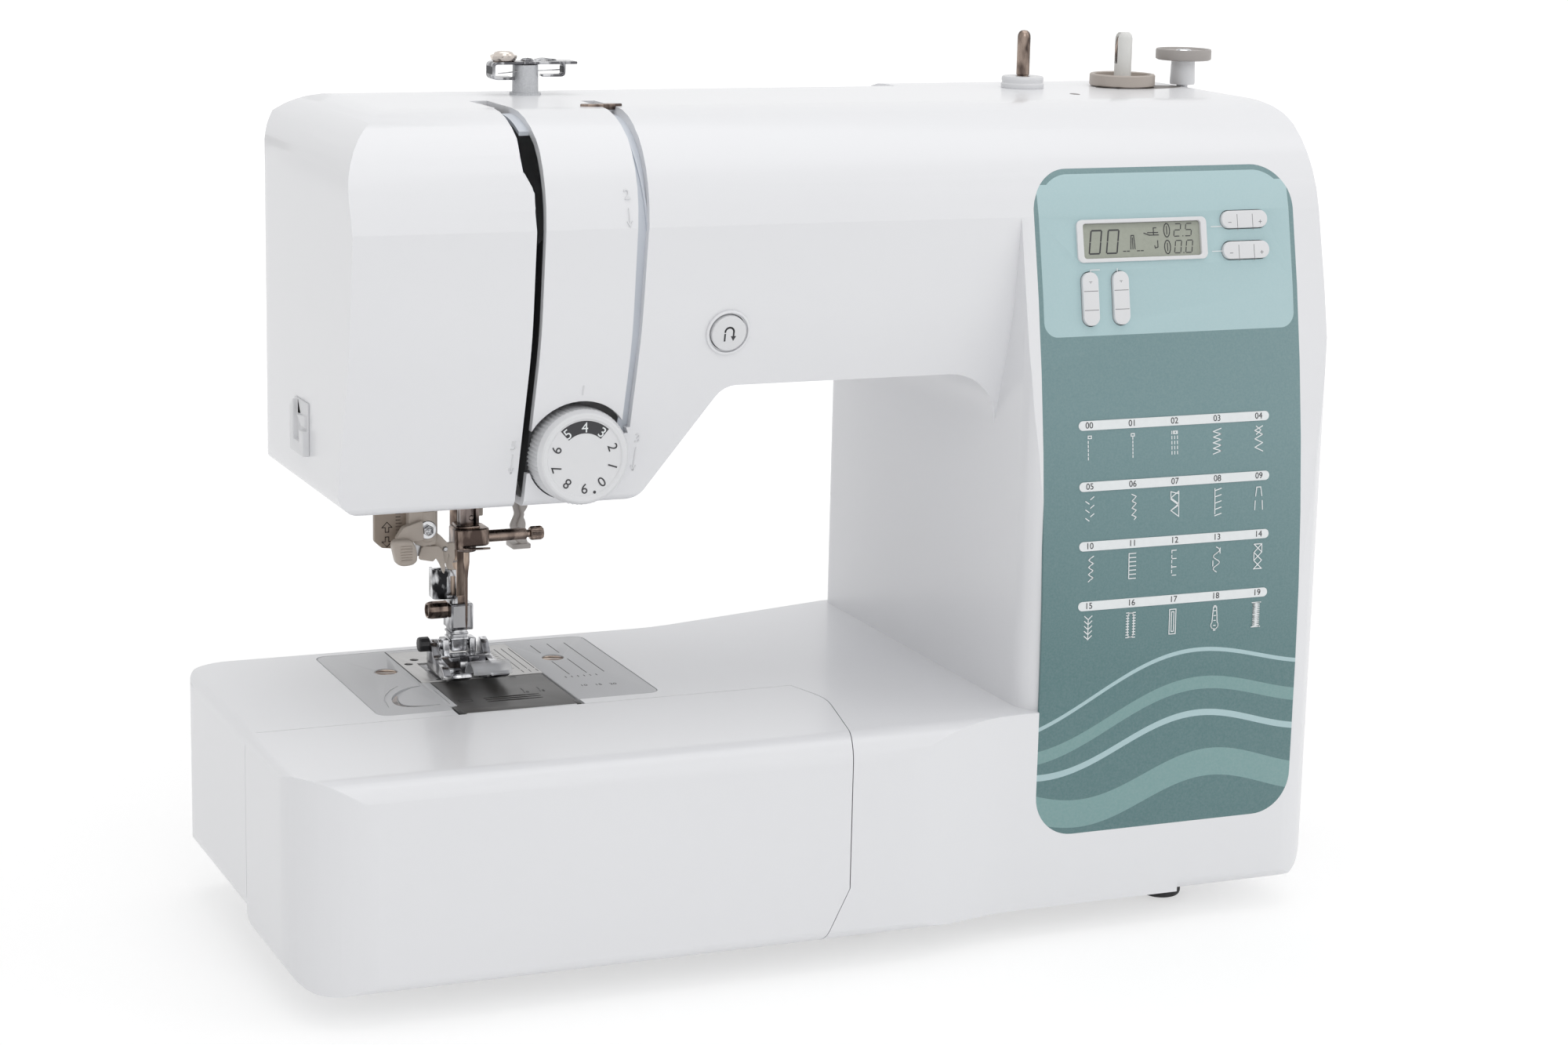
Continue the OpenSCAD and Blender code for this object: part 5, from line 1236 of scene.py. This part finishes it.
def makeThreaderHook():
    # hook carrier under the lever, turned with it
    post = turned((-133.6, 16, 0), [(1.2, 121.6), (1.5, 122.0), (1.5, 135.4), (0.3, 135.4)], "Z", 32)
    link = roundedForm([(-131.6, 131.4), (-128.6, 129.2), (-126.0, 126.4), (-125.4, 124.8), (-126.0, 119.6),
        (-127.6, 119.3), (-128.6, 123.2), (-129.6, 125.0), (-132.6, 126.2)], 0.7, "Y", 15.4, 16.8, 0.3)
    lower = roundedForm([(-135.9, 124.2), (-135.2, 126.2), (-130.0, 126.0), (-128.4, 124.4), (-127.4, 118.6),
        (-127.9, 116.2), (-129.2, 119.6), (-130.6, 122.0), (-131.6, 120.8), (-136.4, 121.8)], 0.5, "Y", 13.4,
        14.8, 0.25)
    claw = roundedForm([(-127.0, 126.2), (-123.4, 126.2), (-123.2, 120.8), (-124.2, 118.9), (-123.2, 116.6),
        (-125.8, 117.2), (-126.2, 119.0), (-125.2, 122.2), (-127.0, 124.4)], 0.5, "Y", 16.2, 17.6, 0.25)
    mount("needleThreader", [post, link, lower, claw], "threader_hook", beigePlastic, "beige_plastic",
        "needle_threader")
    pinHead = turned((-126.9, 15.4, 124.4), [(0.85, 0.2), (0.85, -0.4), (0.6, -0.7), (0.2, -0.7)], "Y", 20)
    peg = block((-137.4, 15.0, 122.6), (-134.9, 17.0, 127.0), 0.2)
    hooks = [wireForm([(-124.4 + 0.5 * i, 17.0, 119.6), (-123.2 + 0.5 * i, 18.0, 119.0),
        (-122.6 + 0.5 * i, 19.0, 119.4)], 0.14) for i in range(3)]
    mount("threaderPins", [pinHead, peg, *hooks], "threader_hook", steelBrushed, "plain_steel")


def makeButtonhole():
    arm = roundedForm([(-95.4, 186), (-95.0, 134), (-93.6, 128.6), (-95.4, 124.6), (-93.2, 119.0),
        (-90.4, 117.6), (-88.8, 118.4), (-90.0, 121.4), (-89.6, 125.4), (-90.8, 128.4), (-89.0, 131.0),
        (-88.4, 186)], 0.9, "Y", 41.6, 43.4, 0.45, 3)
    rib = roundedForm([(-93.2, 186), (-93.0, 134), (-91.8, 128.8), (-93.2, 125.2), (-91.6, 120.4),
        (-90.6, 120.6), (-91.8, 125.0), (-90.6, 128.6), (-91.6, 133.6), (-91.6, 186)], 0.6, "Y", 40.4, 42.0,
        0.35)
    foot = block((-94.6, 41.0, 116.4), (-88.0, 48.8, 118.2), 0.4)
    mount("buttonholeLever", [arm, rib, foot], "buttonhole", leverGrey, "beige_plastic", "buttonhole_lever")


leverGrey = mouldedPlastic("leverGrey", (0.60, 0.56, 0.53), 0.45)
makeThreader()
makeThreaderHook()
makeButtonhole()
carry("footLifter", "presser_lifter", "lifter", beigePlastic, "beige_plastic", 0.9)
print("levers done")


# top of the arm: thread guide, spool pin, bobbin winder

top = {"z": 274.0, "y": 23.0, "guide": -97.2, "spool": 86.0, "winder": 125.6, "stopper": 150.0}
# the second colour is the dark of the guide's painted reflections
guideChrome = mirrorChrome("guideChrome", (0.56, 0.565, 0.58), (0.13, 0.13, 0.14), 0.22, 230)


def makeThreadGuide():
    x, y, z = top["guide"], top["y"], top["z"]
    mount("guidePost", turned((x, y, z), [(5.2, 0), (5.2, 0.7), (4.3, 0.9), (4.2, 9.8), (0.3, 10.0)]),
        "machine", greyPost, "beige_plastic", "guide_post")
    # one folded strip: long top, left end turned under, right tongue turned under
    strip = bentStrip(eased([(-101.8, 279.5), (-109.1, 279.5), (-109.1, 284.5), (-80.4, 284.5)], 1.3, 5), "Y",
        19.1, 26.9, 0.85, 0.25)
    tongue = bentStrip(eased([(-92.4, 280.4), (-84.9, 280.4), (-84.9, 284.3)], 1.2, 5), "Y", 19.1, 22.9, 0.8,
        0.2)
    # painted shade and reflection: thin dark slabs on the faces where the strip's ends turn under
    foldShadeSlabs = [block((-109.6, 20.2, 280.9), (-109.45, 26.0, 283.4), 0.03, 1),
        block((-108.72, 20.2, 280.4), (-108.6, 26.2, 283.6), 0.03, 1),
        block((-85.45, 19.4, 281.4), (-85.28, 22.6, 283.4), 0.03, 1)]
    mount("guideFoldShade", foldShadeSlabs, "machine", channelDark, "bright_plated")
    cuts = [block((cut - 0.25, 18.8, 284.2), (cut + 0.25, 19.8, 285.2), 0.02, 1) for cut in (-99.2, -94.1)]
    cutAway(strip, *cuts)
    lip = bentStrip(eased([(-92.5, 284.9), (-90.0, 285.5), (-85.5, 284.9)], 1.2, 4), "Y", 25.6, 28.0, 0.5,
        0.15)
    stud = turned((-96.1, 24.4, 0), [(2.2, 284.6), (2.1, 285.3), (1.5, 285.7), (0.3, 285.85)], "Z", 32, 60)
    cutAway(stud, *crossCuts("Z", -96.1, 24.4, 285.5, 286.2, 1.3, 0.2))
    mount("threadGuide", [strip, tongue, lip, stud], "machine", guideChrome, "bright_plated", "thread_guide",
        smooth=35)
    discs = turned((-104.7, y, 0), [(1.8, 284.7), (3.3, 284.8), (4.0, 285.4), (4.4, 286.3), (4.45, 286.9),
        (4.1, 287.0), (3.5, 286.6), (3.3, 286.6), (3.3, 287.3), (2.9, 287.9), (1.8, 288.25), (0.3, 288.3)],
        "Z", 48, 40)
    mount("pretensionDiscs", discs, "machine", warmChrome, "bright_plated")
    mount("guideWire", wireForm([(-107.4, 20.2, 281.2), (-102.0, 20.6, 281.6), (-95.0, 20.8, 281.9),
        (-86.0, 20.9, 282.2)], 0.18), "machine", brightChrome, "bright_plated")


def makeSpool():
    x, y, z = top["spool"], top["y"], top["z"]
    base = turned((x, y, z), [(7.3, 0), (7.5, 0.3), (7.5, 1.5), (7.2, 1.9), (7.2, 2.3), (7.35, 2.7),
        (7.35, 3.6), (7.0, 4.1), (3.2, 4.1), (2.45, 4.0), (2.45, 0.0)], "Z", 56, 35, ring=True)
    mount("spoolBase", base, "machine", trimWhite, "white_shell", "spool_base")
    mount("spoolPin", turned((x, y, z), [(2.0, -16), (2.0, 4.4), (2.3, 4.6), (2.3, 17.4), (2.2, 18.4),
        (1.8, 19.3), (1.1, 19.85), (0.2, 20.0)], "Z", 40, 50), "spool", bronzePlate, "bronze_plated",
        "spool_pin")


def makeWinder():
    x, y, z = top["winder"], top["y"], top["z"]
    seat = turned((x, y, z), [(5.0, -12), (5.0, 0.25), (11.2, 0.3), (11.6, 0.7), (11.6, 4.1), (11.2, 4.5),
        (10.4, 4.5), (10.0, 4.2), (10.0, 2.6), (2.85, 2.5), (2.85, -12)], "Z", 72, 35, ring=True)
    collar = turned((x, y, z), [(7.0, -14), (7.0, -2.9), (2.9, -2.9), (2.9, -14)], "Z", 40, ring=True)
    mount("winderSeat", [seat, collar], "winder", seatBeige, "beige_plastic", "winder_seat")
    shaft = turned((x, y, z), [(9.0, -22), (9.0, -14.4), (2.6, -14.3), (2.6, 3.0), (3.05, 3.1), (3.05, 17.0),
        (2.7, 18.2), (1.9, 19.0), (0.3, 19.0)], "Z", 48, 40)
    pocket = block((x - 3.4, y - 1.0, z + 8), (x - 1.7, y + 1.0, z + 20), 0.1, 1)
    split = block((x - 4, y - 0.3, z + 12.5), (x + 4, y + 0.3, z + 20), 0.02, 1)
    cutAway(shaft, pocket, split)
    mount("winderShaft", shaft, "winder_spindle", ivoryWhite, "white_shell", "winder_shaft", smooth=40)
    mount("winderClip", bentStrip(eased([(x - 2.2, z + 8.4), (x - 3.0, z + 12.5), (x - 2.2, z + 16.8),
        (x - 1.9, z + 17.4)], 1.5, 5), "Y", y - 0.7, y + 0.7, 0.4, 0.08), "winder_spindle", bronzePlate,
        "bronze_plated")
    # the slot in the crown that the winder shifts along, painted as a flat dark patch for its shaded hollow,
    # with its spring leaf
    outline = [(x + 4.4 + 13.6 * math.cos(a) + 3.2 * math.cos(a) ** 3, y - 4 + 7.5 * math.sin(a))
        for a in [math.tau * i / 40 for i in range(40)]]
    mount("winderWell", cutForm(outline, "Z", z - 0.3, z + 0.06, 0), "machine", wellGrey, "black_plastic")
    mount("winderLeaf", cutForm([(x - 7.4, y - 10.2), (x + 1.0, y - 10.8), (x + 1.0, y - 5.0),
        (x - 7.4, y - 5.0)], "Z", z + 0.06, z + 0.24, 0.05), "machine", darkSteel, "plain_steel")
    # painted shade: a flat dark patch for the crown eye's hollow
    mount("crownEye", cutForm(arc(92.6, -3.8, 1.5, 0, 342, 19, 2.6 / 1.5), "Z", z - 0.3, z + 0.05, 0),
        "machine", wellGrey, "black_plastic")


def makeStopper():
    x, y, z = top["stopper"], top["y"], top["z"]
    mount("stopperPost", turned((x, y, z), [(2.0, -16), (2.0, 0.3), (4.3, 0.5), (4.5, 1.0), (4.2, 9.0),
        (4.2, 10.2), (0.3, 10.2)]), "stopper", trimWhite, "white_shell", "winder_stopper")
    disc = turned((x, y, z), [(9.3, 9.2), (9.8, 9.5), (9.9, 9.9), (9.9, 12.5), (9.7, 13.0), (9.3, 13.0),
        (9.0, 12.8), (8.6, 12.3), (4.4, 12.2), (4.2, 11.2), (0.3, 11.2)], "Z", 64, 35)
    mount("stopperDisc", disc, "stopper", discGrey, "beige_plastic")
    screw = turned((x, y, z), [(3.0, 11.2), (3.0, 12.1), (2.6, 12.7), (1.6, 13.0), (0.3, 13.0)], "Z", 36, 50)
    cutAway(screw, *crossCuts("Z", x, y, z + 12.3, z + 14, 1.6, 0.3))
    mount("stopperScrew", screw, "stopper", brightChrome, "bright_plated", smooth=50)


greyPost = speckled("greyPost", (0.56, 0.57, 0.59), 0.35, (1600, 2), (0.44, 0.45, 0.47), (0.66, 0.67, 0.69),
    0.4)
warmChrome = platedMetal("warmChrome", (0.66, 0.60, 0.55), 0.14)
ivoryWhite = mouldedPlastic("ivoryWhite", (0.72, 0.72, 0.70), 0.4)
seatBeige = mouldedPlastic("seatBeige", (0.45, 0.40, 0.36), 0.45)
discGrey = mouldedPlastic("discGrey", (0.37, 0.345, 0.33), 0.45)
wellGrey = mouldedPlastic("wellGrey", (0.16, 0.145, 0.135), 0.5)
makeThreadGuide()
makeSpool()
makeWinder()
makeStopper()
print("top dressed")


# handwheel, take-up lever, thread cutter

wheel = {"y": 28.0, "z": 206.0, "belt": 28, "ribs": 72, "ribStart": 35.4, "ribDepth": 0.4}


def makeHandwheel():
    spot = (0, wheel["y"], wheel["z"])
    inner = [(5.0, 118), (wheel["belt"], 118), (wheel["belt"], 127), (12, 130), (12, 160.9)]
    rim = [(33.0, 160.9), (34.3, 161.2), (35.0, 162.2), (35.5, 165), (35.8, 170), (35.95, 176), (35.8, 181),
        (35.1, 186), (33.7, 190), (31.4, 193.7), (28.4, 197), (25.2, 199.8), (21.8, 202.1), (18.2, 203.8),
        (15, 204.6), (11, 204.95), (0.3, 205)]
    body = turned(spot, inner + rim + [(0.3, 148.6), (5.0, 148.6)], "X", wheel["ribs"] * 2, 45, ring=True)
    ribRing(body, spot, "X", wheel["ribStart"], wheel["ribDepth"])
    mount("handwheelBody", body, "drive", trimWhite, "white_shell", "handwheel", smooth=40)


makeHandwheel()
carry("takeUpLever", "take_up_lever", "take_up", brightChrome, "bright_plated", 0.35)
carry("threadCutter", "thread_cutter", "machine", trimWhite, "white_shell", 0.3)
print("wheel and levers done")


# back and ends: carry handle, power inlet, switch, feet

carry("carryHandle", "carry_handle", "handle", housingWhite, "white_shell", 0.8, 3, 35)
carry("socketBlock", "socket_block", "machine", blackPlastic, "black_plastic", 0.4, 2)
carry("powerSwitch", "power_switch", "switch", blackPlastic, "black_plastic", 0.4)
carry("rubberFeet", "feet", "machine", rubberBlack, "black_rubber", 0.8)


def makeSwitchSigns():
    low, high = (Vector(corner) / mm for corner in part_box("power_switch"))
    signs = [setDown(drawText(sign, 0, 0, 4.2, 0.04), (high.x - 1.0, (low.y + high.y) / 2, level),
        (0, 0, math.pi / 2)) for sign, level in (("I", high.z - 2.4), ("O", low.z + 2.4))]
    mount("switchSigns", signs, "switch", inkWhite, "black_plastic")


makeSwitchSigns()


def boardFinish():
    # lacquered board with faint tracks
    finish = Finish("boardGreen", (0.02, 0.13, 0.07), 0.35)
    x, z = finish.axes()
    tracks = ((x * 900).calc("SINE") + (z * 700).calc("SINE")) > 1.1
    return finish.look(finish.mix(tracks * 0.6, (0.015, 0.11, 0.055), (0.05, 0.24, 0.12)),
        tracks * 0.1 + 0.32).material


dress(steelBrushed, "screws", "upper_shaft", "lower_shaft", "motor_pulley", "tension_unit")
dress(castAlloy, "main_frame")
dress(bushBronze, "shaft_bushes")
dress(blackPlastic, "upper_pulley", "lower_pulley")
dress(rubberBlack, "timing_belt", "motor_belt")
motorPaint = speckled("motorPaint", (0.10, 0.11, 0.12), 0.2, (700, 3), (0.08, 0.09, 0.10), (0.13, 0.14, 0.15),
    0.3)
dress(motorPaint, "motor")
dress(boardFinish(), "control_board")
print("inner parts finished")


# stage

view = {"place": (-0.4514, -1.0227, 0.3699), "yaw": -23.3, "pitch": 12.2, "roll": 1.3, "lens": 76.5}
studio = {"world": 0.62, "floor": (0.98, 0.98, 0.98), "floorSize": 14, "floorDrop": 0.4 * mm,
          "glow": 0.5, "glowStrength": 1.15, "nearScale": 1.1, "nearGain": 1.6, "lamps": {
    "keyLamp": {"place": (-0.3, -1.9, 1.5), "target": (0, 0, 0.12), "size": (1.4, 1.4), "power": 8},
    "fillLamp": {"place": (2.0, -1.0, 1.1), "target": (0, 0, 0.15), "size": (1.6, 1.6), "power": 5},
    "topLamp": {"place": (0.2, 0.1, 2.0), "target": (0, 0, 0.1), "size": (2.0, 1.6), "power": 11}}}


def makeCamera():
    turn = Euler((math.radians(90 - view["pitch"]), 0, math.radians(view["yaw"]))).to_matrix()
    turn = turn @ Matrix.Rotation(math.radians(view["roll"]), 3, "Z")
    bpy.ops.object.camera_add(location=view["place"], rotation=turn.to_euler())
    camera = bpy.context.object
    camera.data.lens = view["lens"]
    camera.data.clip_start = 0.02
    bpy.context.scene.camera = camera


def areaLamp(name, place, target, size, power):
    bpy.ops.object.light_add(type="AREA", location=place)
    lamp = bpy.context.object
    lamp.name = name
    lamp.data.shape = "RECTANGLE"
    lamp.data.size, lamp.data.size_y = size
    lamp.data.energy = power
    lamp.rotation_euler = (Vector(target) - Vector(place)).to_track_quat("-Z", "Y").to_euler()


def seenByEye(tree):
    # 1 for what the camera sees, straight or in gloss or through clear parts
    path = tree.nodes.new("ShaderNodeLightPath")
    rays = [Wire(tree, path.outputs[kind + " Ray"]) for kind in ("Is Camera", "Is Glossy", "Is Transmission")]
    return rays[0].calc("MAXIMUM", rays[1]).calc("MAXIMUM", rays[2])


def makeStage():
    scene = bpy.context.scene
    scene.view_settings.view_transform = "Standard"
    deselectAll()
    bpy.ops.mesh.primitive_plane_add(size=studio["floorSize"], location=(0, 0, -studio["floorDrop"]))
    floor = bpy.context.object
    floor.name = "floor"
    finish = Finish("floorPaint", studio["floor"], 0.7)
    both = finish.tree.nodes.new("ShaderNodeMixShader")
    glow = finish.node("ShaderNodeEmission", None, {"Strength": studio["glowStrength"]})
    # the floor turns to plain white away from the machine
    place = finish.moved([studio["nearScale"]] * 3)
    near = finish.node("ShaderNodeTexGradient", {"gradient_type": "SPHERICAL"}, {"Vector": place}, 1)
    clear = (1 - near * studio["nearGain"]).calc("MAXIMUM", 0.0)
    feed(finish.tree, both.inputs[0],
        seenByEye(finish.tree) * (clear * (1 - studio["glow"]) + studio["glow"]))
    feed(finish.tree, both.inputs[1], Wire(finish.tree, finish.shader.outputs[0]))
    feed(finish.tree, both.inputs[2], glow)
    finish.tree.links.new(both.outputs[0], finish.tree.nodes["Material Output"].inputs["Surface"])
    floor.data.materials.append(finish.material)
    world = bpy.data.worlds.new("softbox")
    scene.world = world
    world.use_nodes = True
    tree = world.node_tree
    background = tree.nodes["Background"]
    background.inputs["Color"].default_value = (1, 1, 1, 1)
    feed(tree, background.inputs["Strength"], seenByEye(tree) * (1 - studio["world"]) + studio["world"])
    for name, lamp in studio["lamps"].items():
        areaLamp(name, **lamp)


makeCamera()
makeStage()
